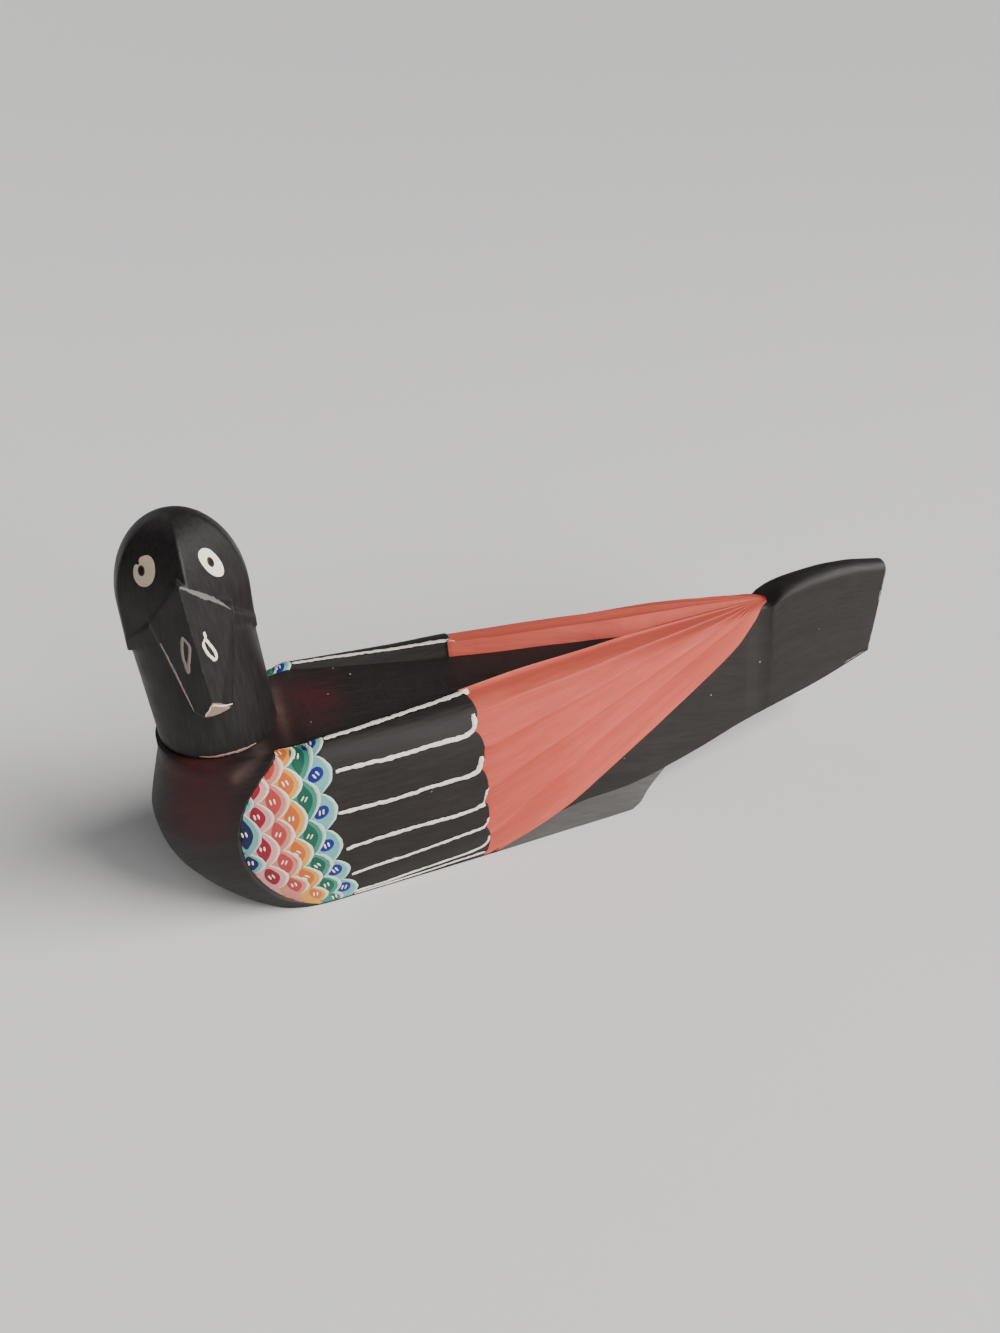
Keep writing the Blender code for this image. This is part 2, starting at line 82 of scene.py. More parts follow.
# Bill: where its keel and its two edges start at the face and end at the tip, from the head's middle
BILL_ROOT = (-0.0023, -0.0229, 0.1288)
BILL_TIP = (0.0011, -0.0290, 0.0845)
BILL_ROOT_EDGES = ((-0.0119, -0.015, 0.1142), (0.0126, -0.015, 0.1149))
BILL_TIP_EDGES = ((-0.005, -0.0233, 0.0862), (0.0069, -0.0231, 0.0862))
BILL_BACK_RISE = 0.0060
BILL_TIP_CUT = math.radians(27)
BILL_TIP_TURN = math.radians(12)
BILL_TIP_CUT_HEIGHT = 0.0920

# Carving on the body
WING_EDGE_STEP = 0.0011
FEATHER_STEP = 0.0005
SCALLOP_DEPTH = 0.0030
SCALLOP_SLANT = 0.0030
FLUTE_DEPTH = 0.0011
FLUTE_FADE = 0.6
BIB_RIM = 0.0016
BIB_FADE = 0.0090
BIB_HEEL = 0.0120
BIB_SHOULDER = 0.1
STEP_RUN = 0.0006
FLUTE_SKEW = 0.6

# Fits
GLUE_GAP = 0.0003
SEAT_MARGIN = 0.0015

HALF_WIDTH = BODY_WIDTH / 2
NECK_RADIUS = NECK_DIAMETER / 2
HEAD_RADIUS = HEAD_DIAMETER / 2
NECK_MIDDLE = NECK_SETBACK - BODY_LENGTH / 2
HEAD_MIDDLE = HEAD_SETBACK - BODY_LENGTH / 2
MM = 0.001

# The carved form, as shares: stations along the length from the breast (0) to the tail's end (1),
# widths as shares of half the body's width and heights as shares of the back's height
WING_START = 0.182
SCALLOP_STATION = 0.3685
WING_EDGE_START = 0.384
EDGE_STEP_FADE = 0.1
BASE_END = 0.580
BELLY_END = 0.635
WING_TIP = 0.813
SEAT_HEIGHT = 0.955
WING_HEEL = 0.012

RIDGE_WIDTH = (
    (0.182, 0.7), (0.308, 0.542), (0.375, 0.458), (0.442, 0.354), (0.53, 0.265), (0.577, 0.205),
    (0.652, 0.143), (0.712, 0.104), (0.772, 0.05), (0.813, 0.0),
)
RIDGE_HEIGHT = ((0.182, 0.985), (0.308, 0.988), (0.4, 1.0), (0.7, 1.0), (0.813, 0.988))
BARREL_WIDTH = (
    (0.182, 0.994), (0.3, 1.0), (0.368, 1.0), (0.472, 0.94), (0.53, 0.84), (0.592, 0.708),
    (0.652, 0.562), (0.712, 0.438), (0.772, 0.336), (0.813, 0.3),
)
BARREL_HEIGHT = 0.373
BARREL_BOXINESS = (
    (0.182, 2.9), (0.368, 3.0), (0.5, 3.3), (0.6, 4.6), (0.675, 6.5), (0.74, 6.0), (0.813, 4.0),
)
BASE_WIDTH = ((0.182, 0.95), (0.368, 0.917), (0.472, 0.887), (0.58, 0.854), (0.62, 0.735), (0.635, 0.69))
BASE_RISE = ((0.58, 0.0), (0.5925, 0.03), (0.603, 0.087), (0.612, 0.119), (0.622, 0.145), (0.635, 0.184))
CREASE_WIDTH = (
    (0.384, 0.912), (0.425, 0.902), (0.515, 0.866), (0.558, 0.833), (0.603, 0.756), (0.65, 0.658),
    (0.728, 0.53), (0.817, 0.405), (0.908, 0.274), (1.0, 0.143),
)
CREASE_HEIGHT = (
    (0.384, 0.004), (0.425, 0.078), (0.472, 0.161), (0.515, 0.188), (0.603, 0.18), (0.635, 0.184),
    (0.69, 0.21), (0.772, 0.282), (0.908, 0.363), (1.0, 0.452),
)
FLOOR_WIDTH = (
    (0.182, 0.661), (0.308, 0.494), (0.375, 0.405), (0.442, 0.298), (0.508, 0.214), (0.55, 0.134),
    (0.577, 0.065), (0.597, 0.0),
)
FLOOR_HEIGHT = (
    (0.182, 0.966), (0.225, 0.952), (0.308, 0.928), (0.358, 0.916), (0.525, 0.912), (0.597, 0.934),
    (0.653, 0.96), (0.773, 0.981), (0.813, 0.988),
)
WING_EDGE_HEIGHT = (
    (0.384, 0.012), (0.453, 0.149), (0.53, 0.319), (0.577, 0.418), (0.652, 0.567), (0.712, 0.706),
    (0.75, 0.812), (0.777, 0.93), (0.795, 0.983), (0.813, 0.988),
)
TAIL_TOP = (
    (0.813, 0.995), (0.819, 1.03), (0.829, 1.063), (0.848, 1.09), (0.88, 1.112), (0.912, 1.122),
    (0.942, 1.119), (0.97, 1.104), (1.0, 1.084),
)
TAIL_EDGE_WIDTH = ((0.772, 0.2), (0.813, 0.205), (0.85, 0.19), (0.912, 0.167), (1.0, 0.131))
TAIL_EDGE_HEIGHT = (
    (0.772, 0.865), (0.797, 0.935), (0.813, 0.985), (0.829, 1.012), (0.85, 1.032), (0.88, 1.047),
    (0.912, 1.058), (0.942, 1.057), (1.0, 1.024),
)
BREAST_PROFILE = (
    (0.0, 0.078), (0.06, 0.056), (0.18, 0.0265), (0.313, 0.009), (0.44, 0.002), (0.54, 0.0),
    (0.636, 0.0045), (0.788, 0.014), (0.903, 0.02), (0.985, 0.0205),
)
BREAST_BLUNTNESS = ((0.0, 2.7), (0.22, 2.25), (1.0, 2.4))

# The ledge below the eyes, from the face's middle (0) round to the nape (1): its height, and its depth
# as a share of the cheek's step
LEDGE_HEIGHT = ((0.0, 0.129), (0.22, 0.1165), (0.5, 0.1055), (1.0, 0.1055))
LEDGE_DEPTH = ((0.0, 0.0), (0.14, 0.0), (0.22, 1.0), (0.32, 0.8), (0.5, 0.0), (1.0, 0.0))

# The round edge where the breast's bib overlaps the scales
BIB_STATION = 0.188
BIB_HEIGHT = 0.522
BIB_REACH = 0.1067
BIB_RADIUS = 0.537
BIB_FLATTEST = 0.02

# Across the wing, as shares of its outline from the ridge to its lower edge. The flutes' crests are
# given along the wing, from the black feathers (0) to the wing's tip (1), and their depths are shares
FEATHER_EDGES = (0.0, 0.231, 0.434, 0.629, 0.789, 1.0)
FLUTE_CRESTS = (
    ((0.0, 0.0), (1.0, 0.0)),
    ((0.0, 0.145), (0.5, 0.168), (1.0, 0.100)),
    ((0.0, 0.321), (0.5, 0.300), (0.7, 0.281), (1.0, 0.200)),
    ((0.0, 0.556), (0.15, 0.506), (0.5, 0.451), (0.7, 0.401), (1.0, 0.290)),
    ((0.0, 0.860), (0.15, 0.754), (0.33, 0.684), (0.5, 0.632), (0.7, 0.544), (1.0, 0.360)),
    ((0.0, 1.0), (1.0, 1.0)),
)
FLUTE_DEPTHS = (0.7, 0.9, 1.0, 1.0, 0.3)
FLUTE_STEPS = 16

# Steps of the fine mesh
BREAST_STEPS = 60
SCALE_STEPS = 90
EDGE_STEPS = 26
REAR_STEPS = 70
TAIL_STEPS = 50
ROUND_STEPS = 8
TURNED_STEPS = 160
DOME_STEPS = 36
SECTION_SAMPLES = 90
SECTION_STATIONS = 1200
HEAD_VOXEL = 0.00045
SHARP_ANGLE = math.radians(38)
EDGE_WEAR_STEPS = 3
EDGE_WEAR = 0.5
LOFT_MERGE = 1e-5
BODY_MERGE = 1e-6
TINY = 1e-7
NO_AREA = 1e-12


def clamp(value):
    return min(max(value, 0), 1)


def curve(points, at):
    """The smooth curve through the points, without overshoot, at one place. It is level past its ends."""
    places, values = zip(*points)
    if at <= places[0]:
        return values[0]
    if at >= places[-1]:
        return values[-1]
    runs = np.diff(places)
    slopes = np.diff(values) / runs
    tangents = [slopes[0]]
    for i in range(1, len(points) - 1):
        before, after = slopes[i - 1 : i + 1]
        tangents.append(2 * before * after / (before + after) if before * after > 0 else 0.0)
    tangents.append(slopes[-1])
    i = int(np.searchsorted(places, at, side="right")) - 1
    t = (at - places[i]) / runs[i]
    return (
        values[i] * (1 + 2 * t) * (1 - t) ** 2
        + tangents[i] * runs[i] * t * (1 - t) ** 2
        + values[i + 1] * t * t * (3 - 2 * t)
        + tangents[i + 1] * runs[i] * t * t * (t - 1)
    )


def wing_shares(along):
    """The wing's lines at a place along it, as shares across: each crest and the lines below it."""
    shares = []
    for upper, lower in zip(FLUTE_CRESTS, FLUTE_CRESTS[1:]):
        start = curve(upper, along)
        end = curve(lower, along)
        shares += [start + (end - start) * step / FLUTE_STEPS for step in range(FLUTE_STEPS)]
    return shares + [1.0]


FRONT_SHARES = wing_shares(0)
TROUGH_EDGE = 1
RIDGE = 2
WING_EDGE = RIDGE + len(FRONT_SHARES) - 1
FOOT = WING_EDGE + 1
TAIL_EDGE = FOOT + ROUND_STEPS
CREASE = TAIL_EDGE + 2
BASE_EDGE = CREASE + 1
BASE_MIDDLE = BASE_EDGE + 1


def line_place(widths, heights, station):
    """How far out and up a line of the body lies at a station, from its two tables of shares."""
    return HALF_WIDTH * curve(widths, station), BACK_HEIGHT * curve(heights, station)


def barrel(station, edge_height):
    """The body's round side at a station, from the ridge down to a height, as (width, height) points."""
    ridge_y, ridge_z = line_place(RIDGE_WIDTH, RIDGE_HEIGHT, station)
    widest = HALF_WIDTH * curve(BARREL_WIDTH, station)
    base = min(HALF_WIDTH * curve(BASE_WIDTH, station), widest)
    middle = BACK_HEIGHT * BARREL_HEIGHT
    power = 2 / curve(BARREL_BOXINESS, station)
    points = []
    for angle in np.linspace(0, math.pi / 2, SECTION_SAMPLES):
        y = ridge_y + (widest - ridge_y) * math.sin(angle) ** power
        z = middle + (ridge_z - middle) * math.cos(angle) ** power
        points.append((y, z))
    for share in np.linspace(0, 1, SECTION_SAMPLES)[1:]:
        points.append((widest - (widest - base) * share**2, middle * (1 - share)))
    points = np.array(points)
    kept = points[points[:, 1] > edge_height]
    last = [np.interp(-edge_height, -points[:, 1], points[:, 0]), edge_height]
    return np.vstack([kept, last])


def spread(points, shares):
    """Points at these shares of a line's length."""
    walked = np.concatenate([[0], np.cumsum(np.hypot(*np.diff(points, axis=0).T))])
    targets = np.array(shares) * walked[-1]
    return np.column_stack([np.interp(targets, walked, points[:, i]) for i in (0, 1)])


def top_lines(station, ridge):
    """The middle of the back and the edge of its floor."""
    edge_y, floor_z = line_place(FLOOR_WIDTH, FLOOR_HEIGHT, station)
    return [(0.0, floor_z), (min(edge_y, ridge[0]), floor_z)]


def side_lines(station, wing_edge):
    """The tail's side below the wing's edge, its crease, the belly and half the base."""
    base_y, base_z = line_place(BASE_WIDTH, BASE_RISE, station)
    if station <= WING_EDGE_START:
        return [(base_y, 0.0)] * (BASE_EDGE - FOOT + 1) + [(0.0, 0.0)]
    crease = line_place(CREASE_WIDTH, CREASE_HEIGHT, station)
    if station >= WING_TIP:
        foot = (0.0, BACK_HEIGHT * curve(TAIL_TOP, station))
    else:
        start = min((station - WING_EDGE_START) / (EDGE_STEP_FADE * WING_EDGE_START), 1)
        foot = (max(wing_edge[0] - WING_EDGE_STEP * start, 0.0), wing_edge[1])
    rounding = clamp((station - TAIL_EDGE_WIDTH[0][0]) / (WING_TIP - TAIL_EDGE_WIDTH[0][0]))
    round_place = line_place(TAIL_EDGE_WIDTH, TAIL_EDGE_HEIGHT, station)
    tail_edge = [there * rounding + here * (1 - rounding) for there, here in zip(round_place, foot)]
    lines = [foot]
    for step in range(1, ROUND_STEPS + 1):
        angle = step / ROUND_STEPS * math.pi / 2
        y = foot[0] + (tail_edge[0] - foot[0]) * math.sin(angle)
        z = tail_edge[1] + (foot[1] - tail_edge[1]) * math.cos(angle)
        lines.append((y, z))
    lines.append(((tail_edge[0] + crease[0]) / 2, (tail_edge[1] + crease[1]) / 2))
    lines.append(crease)
    belly = (base_y, base_z) if station < BELLY_END else crease
    return lines + [belly, (0.0, belly[1])]


def section(station):
    """Half the body's cross-section, from the middle of its back to the middle of its base."""
    if station >= WING_TIP:
        sides = side_lines(station, None)
        return np.array([sides[0]] * FOOT + sides)
    heel = WING_HEEL if station <= WING_EDGE_START else curve(WING_EDGE_HEIGHT, station)
    along = max((station - SCALLOP_STATION) / (WING_TIP - SCALLOP_STATION), 0)
    wing = spread(barrel(station, BACK_HEIGHT * heel), wing_shares(along))
    lines = top_lines(station, wing[0]) + [tuple(p) for p in wing] + side_lines(station, wing[-1])
    return np.array(lines)


SHOULDER = section(WING_START)


def seat_end():
    """The station where the flat seat under the neck ends."""
    return (NECK_SETBACK + NECK_RADIUS + SEAT_MARGIN) / BODY_LENGTH


def front_height(line, station):
    """A line's height ahead of the wings: the top comes down to the level seat under the neck."""
    rise = clamp((station - seat_end()) / (WING_START - seat_end()))
    rise = rise * rise * (3 - 2 * rise)
    top = SHOULDER[RIDGE][1]
    seat = BACK_HEIGHT * SEAT_HEIGHT
    if line < RIDGE:
        return seat + (SHOULDER[line][1] - seat) * rise
    return SHOULDER[line][1] * (seat + (top - seat) * rise) / top


def breast_shape(line):
    """Where a line ends at the breast, and the power of its round from there to the shoulder."""
    height = SHOULDER[line][1] / BACK_HEIGHT
    return curve(BREAST_PROFILE, height), 2 / curve(BREAST_BLUNTNESS, height)


def breast_point(line, angle):
    """A point ahead of the wings. The angle goes from 0 at the shoulder to 90 degrees at the breast."""
    nose, power = breast_shape(line)
    station = WING_START - (WING_START - nose) * math.sin(angle) ** power
    y = SHOULDER[line][0] * max(math.cos(angle), 0) ** power
    return station, y, front_height(line, station)


def breast_angle(line, station):
    """The angle at which a line reaches a station."""
    nose, power = breast_shape(line)
    share = clamp((WING_START - station) / (WING_START - nose))
    return math.asin(share ** (1 / power))


def bib_edge(line):
    """The station of the bib's round edge on a line."""
    height = (SHOULDER[line][1] / BACK_HEIGHT - BIB_HEIGHT) / BIB_RADIUS
    return BIB_STATION - BIB_REACH * math.sqrt(max(1 - height**2, BIB_FLATTEST))


def scallop_edge(share):
    """The station where the black feathers end, with a round end on each feather."""
    for start, end in zip(FEATHER_EDGES, FEATHER_EDGES[1:]):
        if share <= end:
            across = 2 * (share - start) / (end - start) - 1
            break
    reach = math.sqrt(max(1 - across**2, 0.0))
    rear = SCALLOP_DEPTH * (reach - 1) + SCALLOP_SLANT * (share - 0.5)
    return SCALLOP_STATION + rear / BODY_LENGTH


def rear_stations():
    """The lower lines' stations behind the black feathers, with one at each corner of the outline."""
    rise = [p[0] for p in BASE_RISE]
    edge = np.linspace(WING_EDGE_START, BASE_END, EDGE_STEPS + 1)
    return [*edge, *rise[1:], *np.linspace(BELLY_END, WING_TIP, REAR_STEPS + 1)[1:]]


def flute(line):
    """The depth across the wing, 0 on a crest and most in the middle of a flute."""
    number, step = divmod(line - RIDGE, FLUTE_STEPS)
    if step == 0:
        return 0.0
    return FLUTE_DEPTHS[number] * (1 - (2 * (step / FLUTE_STEPS) ** FLUTE_SKEW - 1) ** 2)


def painted_flute_shade(line):
    """How much painted shade the coral gets across a flute: most just below its crest, none on the crest
    itself.
    """
    step = (line - RIDGE) % FLUTE_STEPS
    return 1 - step / FLUTE_STEPS if step else 0.0


def far_shift(share):
    """How much further back the far wing's black feathers end, at a share across it."""
    return FAR_SHIFT * (1 - share)


def line_points(line, side):
    """One line of the body from the breast to the tail's end, as points and the relief at each."""
    on_wing = RIDGE <= line <= WING_EDGE
    share = FRONT_SHARES[line - RIDGE] if on_wing else float(line > WING_EDGE)
    edge = bib_edge(line)
    scallop = scallop_edge(share)
    if side > 0 and (on_wing or line == TROUGH_EDGE):
        scallop += far_shift(share) / BODY_LENGTH
    run = STEP_RUN / BODY_LENGTH
    points = []
    relief = []
    start = breast_angle(line, edge)
    for step in range(BREAST_STEPS + 1):
        station, y, z = breast_point(line, math.pi / 2 + (start - math.pi / 2) * step / BREAST_STEPS)
        points.append(((station - 0.5) * BODY_LENGTH, y, z))
        fade = math.exp(-(edge - station) * BODY_LENGTH / BIB_FADE) if on_wing else 0.0
        relief.append(BIB_RIM * fade * min(z / BIB_HEEL, share / BIB_SHOULDER, 1))
    for step in range(SCALE_STEPS + 1):
        station = edge + run + (scallop - edge - run) * step / SCALE_STEPS
        points.append(fine_point(line, station))
        relief.append(0.0)
    first = rear_stations()[0]
    for rear in rear_stations():
        along = (rear - first) / (WING_TIP - first)
        station = scallop + run + (WING_TIP - scallop - run) * along if line <= WING_EDGE else rear
        points.append(fine_point(line, station))
        carved = RIDGE <= line < WING_EDGE
        fade = (1 - along) ** FLUTE_FADE
        relief.append(-fade * (FEATHER_STEP + FLUTE_DEPTH * flute(line)) if carved else 0.0)
    for step in range(1, TAIL_STEPS + 1):
        points.append(fine_point(line, WING_TIP + (1 - WING_TIP) * step / TAIL_STEPS))
        relief.append(0.0)
    return points, relief


def raised(grid, relief):
    """The grid with each point moved along its normal by the relief."""
    along = np.gradient(grid, axis=0)
    across = np.gradient(grid, axis=1)
    normals = np.cross(across, along)
    lengths = np.linalg.norm(normals, axis=2, keepdims=True)
    normals = np.where(lengths > NO_AREA, normals / np.maximum(lengths, NO_AREA), 0)
    outward = np.where(normals[..., 1:2] < 0, -1, 1)
    moved = grid + normals * outward * relief[..., None]
    moved[:, 0, 1] = 0
    moved[:, -1, 1] = 0
    moved[0, :, 1] = 0
    return moved


def mesh_object(name, mesh, home):
    made = bpy.data.objects.new(name, mesh)
    home.objects.link(made)
    return made


def finished(name, shape, home):
    """The object that a bmesh becomes. The bmesh is freed."""
    mesh = bpy.data.meshes.new(name)
    shape.to_mesh(mesh)
    shape.free()
    return mesh_object(name, mesh, home)


def lofted(name, rings, home):
    """A closed solid through rings of points, listed from bottom to top, with a flat face at each end."""
    shape = bmesh.new()
    rows = [[shape.verts.new(point) for point in ring] for ring in rings]
    count = len(rows[0])
    for lower, upper in zip(rows, rows[1:]):
        for i in range(count):
            after = (i + 1) % count
            shape.faces.new((lower[i], lower[after], upper[after], upper[i]))
    shape.faces.new(rows[0])
    shape.faces.new(rows[-1])
    bmesh.ops.remove_doubles(shape, verts=shape.verts, dist=LOFT_MERGE)
    bmesh.ops.recalc_face_normals(shape, faces=shape.faces)
    return finished(name, shape, home)


def block(name, size, place, turn, home):
    """A box, moved so that the middle of its lower face is at its place and then turned about it."""
    shape = bmesh.new()
    bmesh.ops.create_cube(shape, size=1, matrix=Matrix.Diagonal((*size, 1)))
    bmesh.ops.translate(shape, verts=shape.verts, vec=(0, 0, size[2] / 2))
    made = finished(name, shape, home)
    made.matrix_world = Matrix.Translation(place) @ turn
    return made


def facing(normal):
    """The turn that points a block's up axis along a normal."""
    return Vector(normal).to_track_quat("Z", "Y").to_matrix().to_4x4()


def bill_cut():
    """The flat cut at the bill's tip: a place on it, and the direction that it faces."""
    level = math.cos(BILL_TIP_CUT)
    out = (level * math.sin(BILL_TIP_TURN), -level * math.cos(BILL_TIP_TURN), -math.sin(BILL_TIP_CUT))
    return (HEAD_MIDDLE, BILL_TIP[1], BILL_TIP_CUT_HEIGHT), out


def make_bill(home):
    """The bill: a gable roof that narrows from the face down to its tip, standing out from the neck."""
    points = [BILL_ROOT, BILL_TIP, *BILL_ROOT_EDGES, *BILL_TIP_EDGES]
    points += [(x, 0, z + BILL_BACK_RISE) for x, _, z in (BILL_ROOT, *BILL_ROOT_EDGES)]
    points += [(x, 0, z) for x, _, z in BILL_TIP_EDGES]
    shape = bmesh.new()
    for x, y, z in points:
        shape.verts.new((HEAD_MIDDLE + x, y, z))
    bmesh.ops.convex_hull(shape, input=shape.verts)
    bmesh.ops.recalc_face_normals(shape, faces=shape.faces)
    return finished("bill", shape, home)


def boolean(target, other, operation):
    cut = target.modifiers.new(f"{operation.lower()} {other.name}", "BOOLEAN")
    cut.operation = operation
    cut.solver = "EXACT"
    cut.object = other


def head_point(turn, height):
    """A point of the head, from its middle. The turn is 0 at the face and 180 degrees at the nape."""
    rise = max(height - HEAD_TOP + DOME_HEIGHT, 0) / DOME_HEIGHT
    size = math.sqrt(max(1 - rise**2, 0))
    depth = FACE_DEPTH if math.cos(turn) > 0 else NAPE_DEPTH
    x = HEAD_RADIUS * size * math.sin(turn)
    y = depth * size * math.cos(turn)
    side = -1 if x < 0 else 1
    reach = abs(x) * math.sin(FOREHEAD_TURN) + y * math.cos(FOREHEAD_TURN)
    excess = max(reach - FOREHEAD_SHARE * HEAD_RADIUS * size, 0)
    return x - side * excess * math.sin(FOREHEAD_TURN), -(y - excess * math.cos(FOREHEAD_TURN))


def make_skull(home):
    """The head without its bill: a dome whose forehead is flattened into two facets, above a ledge."""
    low = JAW_HEIGHT - 2 * NAPE_DEPTH * JAW_TILT
    rings = [[] for _ in range(DOME_STEPS + 3)]
    for step in range(TURNED_STEPS):
        turn = 2 * math.pi * step / TURNED_STEPS
        around = min(turn, 2 * math.pi - turn) / math.pi
        ledge = curve(LEDGE_HEIGHT, around)
        cheek = CHEEK_STEP * curve(LEDGE_DEPTH, around)
        heights = [low, ledge - CHEEK_STEP]
        for level in range(DOME_STEPS + 1):
            heights.append(ledge + (HEAD_TOP - ledge) * math.sin(math.pi / 2 * level / DOME_STEPS))
        for ring, height in zip(rings, heights):
            x, y = head_point(turn, height)
            if height < ledge:
                x += cheek * math.sin(turn)
                y -= cheek * math.cos(turn)
            ring.append((HEAD_MIDDLE + x, y, height))
    return lofted("head", rings[:-1] + [[(HEAD_MIDDLE, 0, HEAD_TOP)] * TURNED_STEPS], home)


def make_neck(home):
    """The neck: a round post that leans a little to the breast and narrows a little to the head."""
    seat = BACK_HEIGHT * SEAT_HEIGHT + GLUE_GAP
    jaw = JAW_HEIGHT + NECK_OVERLAP
    top = (jaw, JAW_TILT, NECK_MIDDLE - NECK_LEAN, NECK_TOP_DIAMETER / 2)
    rings = []
    for height, tilt, x, radius in ((seat, 0, NECK_MIDDLE, NECK_RADIUS), top):
        ring = []
        for step in range(TURNED_STEPS):
            turn = 2 * math.pi * step / TURNED_STEPS
            y = -radius * math.cos(turn)
            ring.append((x + radius * math.sin(turn), y, height - tilt * y))
        rings.append(ring)
    return lofted("head_and_neck", rings, home)


def make_head(home):
    """The head and neck, one carving: a round neck, a domed head with chiselled facets, and the bill."""
    size = (3 * BODY_WIDTH, 3 * BODY_WIDTH, BODY_WIDTH)
    made = make_neck(home)
    head = make_skull(home)
    jaw = facing((0, -JAW_TILT, -1))
    boolean(head, block("jaw cut", size, (HEAD_MIDDLE, 0, JAW_HEIGHT), jaw, home), "DIFFERENCE")
    bill = make_bill(home)
    place, out = bill_cut()
    boolean(bill, block("cut across the bill tip", size, place, facing(out), home), "DIFFERENCE")
    boolean(made, head, "UNION")
    boolean(made, bill, "UNION")
    return made


# The paint's layout, with its lifts above the wood in metres
TROUGH_TIP = 0.597
BLACK_SLOT, CORAL_SLOT, FOOT_DUST_AND_SHEEN_SLOT = 0, 1, 2
STROKE_LIFT = 0.00014
FILL_LIFT = 0.00003
EDGE_DROP = 0.00003
STROKE_SECTION = ((-1, 0), (-0.75, 0.8), (0, 1.0), (0.75, 0.8), (1, 0))
EYE_LIFTS = (0.00008, 0.00012, 0.00016)
BRISTLE_STEP = 0.0006
FINE_STEP = 0.00035
TICK_STEP = 0.00025
TIP = 0.02
PATH_SAMPLES = 24
OVAL_STEPS = 32

# How much each mark's colour differs from its paint
TINT_CHANGE = 0.1

SPECK_FLATNESS = 0.7

# Paint colours as they look in daylight, in sRGB from 0 to 255
PAINTS = {
    "white": (236, 226, 213),
    "cream": (232, 214, 186),
    "shell": (230, 200, 184),
    "mint": (186, 208, 190),
    "pale aqua": (176, 206, 200),
    "aqua": (104, 168, 164),
    "teal": (58, 128, 112),
    "green": (22, 86, 66),
    "blue": (26, 34, 118),
    "navy": (24, 30, 70),
    "gold": (214, 152, 62),
    "orange": (196, 96, 42),
    "salmon": (206, 128, 112),
    "brick": (172, 62, 60),
    "pink": (214, 152, 152),
    # White darkened as painted shade, for the left eye's ring
    "crimson": (140, 28, 46),
    "white in painted shade": (188, 173, 152),
    "brown": (66, 42, 28),
    "pupil": (14, 12, 11),
    "dusty cream": (142, 127, 120),
    # Grey for the brow's painted highlight and wear
    "worn highlight grey": (110, 104, 102),
    "bare wood": (138, 111, 101),
}

# The columns of painted scales, in millimetres: how far along the body each stands, the cusps across the
# wing between which its arcs bulge to the rear, and the colours of its ground, its lens and its arcs
SCALE_COLUMNS = (
    (52.3, (-4.0, 6.3, 21.4, 38.1, 54.0, 65.3, 75.5), "aqua", "blue", "pale aqua"),
    (47.4, (-4.0, 12.8, 30.6, 47.7, 60.8, 71.5, 77.0), "teal", "green", "mint"),
    (42.3, (-5.0, 6.9, 19.9, 37.8, 53.0, 65.2, 74.0), "gold", "orange", "cream"),
    (37.4, (-1.0, 12.4, 27.2, 42.6, 56.8, 67.5), "salmon", "brick", "shell"),
    (31.7, (7.4, 19.3, 32.6, 49.4, 62.5), "pink", "crimson", "shell"),
    (26.9, (13.4, 23.6, 42.8, 52.6), "aqua", "navy", "pale aqua"),
)
SCALE_BOW_START = 38.0
SCALE_BOW = 0.0044
SCALE_BULGE = 4.3
SCALE_DEPTH = 6.5
ARC_WIDTH = 0.72
LENS_WIDTH = 1.75
SPOT_RADIUS = 2.6
TICK_LEAN = 1.3
TICK_LENGTH = 2.3
TICK_WIDTH = 0.33
TICK_GAP = 1.25

# A scale's parts, as shares of its height or width, and the powers of their rounds
SCALE_ROW = 0.7
LEAST_ROWS = 10
BULGE_SHARE = 0.36
BULGE_POWER = 0.75
SPOT_PLACE = 0.46
SPOT_WANDER = 0.05
SPOT_SETBACK = 0.5
SPOT_SHARE = 0.24
SPOT_TALL = 1.1
LENS_SHARE = 0.17
LENS_START, LENS_RUN, LENS_POWER = 0.06, 0.82, 0.8
LENS_SETBACK, LENS_FRONT, LENS_REAR, LENS_FOLLOW = 0.6, 1.15, 0.9, 0.3
ARC_TIP = 0.25

RIM_MARGIN = 0.0007
FEATHER_START = 0.057
FEATHER_END = 0.1105
FAR_SHIFT = 0.0070

# Pale specks, by their place in millimetres and their half-length, and chipped edges at the tail's end,
# in millimetres along and up
SPECKS = (
    ((-79.3, 19.0, 63.6), 0.35), ((-74.4, 13.3, 63.2), 0.5), ((-85.1, 3.0, 64.0), 0.4),
    ((-94.5, -11.8, 64.7), 0.3), ((88.7, -10.2, 42.5), 0.5), ((63.2, -15.4, 36.2), 0.45),
    ((-60.0, -33.0, 40.0), 0.3), ((118.0, -7.0, 50.0), 0.3), ((20.0, -24.0, 24.0), 0.3),
)
CHIPPED_EDGES = (
    (((149.7, 71.5), (149.65, 66.0), (149.6, 61.0)), 0.22),
    (((149.6, 60.6), (149.5, 57.6), (149.5, 55.2)), 0.42),
    (((149.6, 40.0), (149.6, 34.0), (149.4, 31.2)), 0.2),
    (((147.5, 30.6), (141.0, 29.3), (136.0, 28.4)), 0.18),
)
CURL_START, CURL_RUN, CURL_SWELL = 0.78, 0.1, 0.22

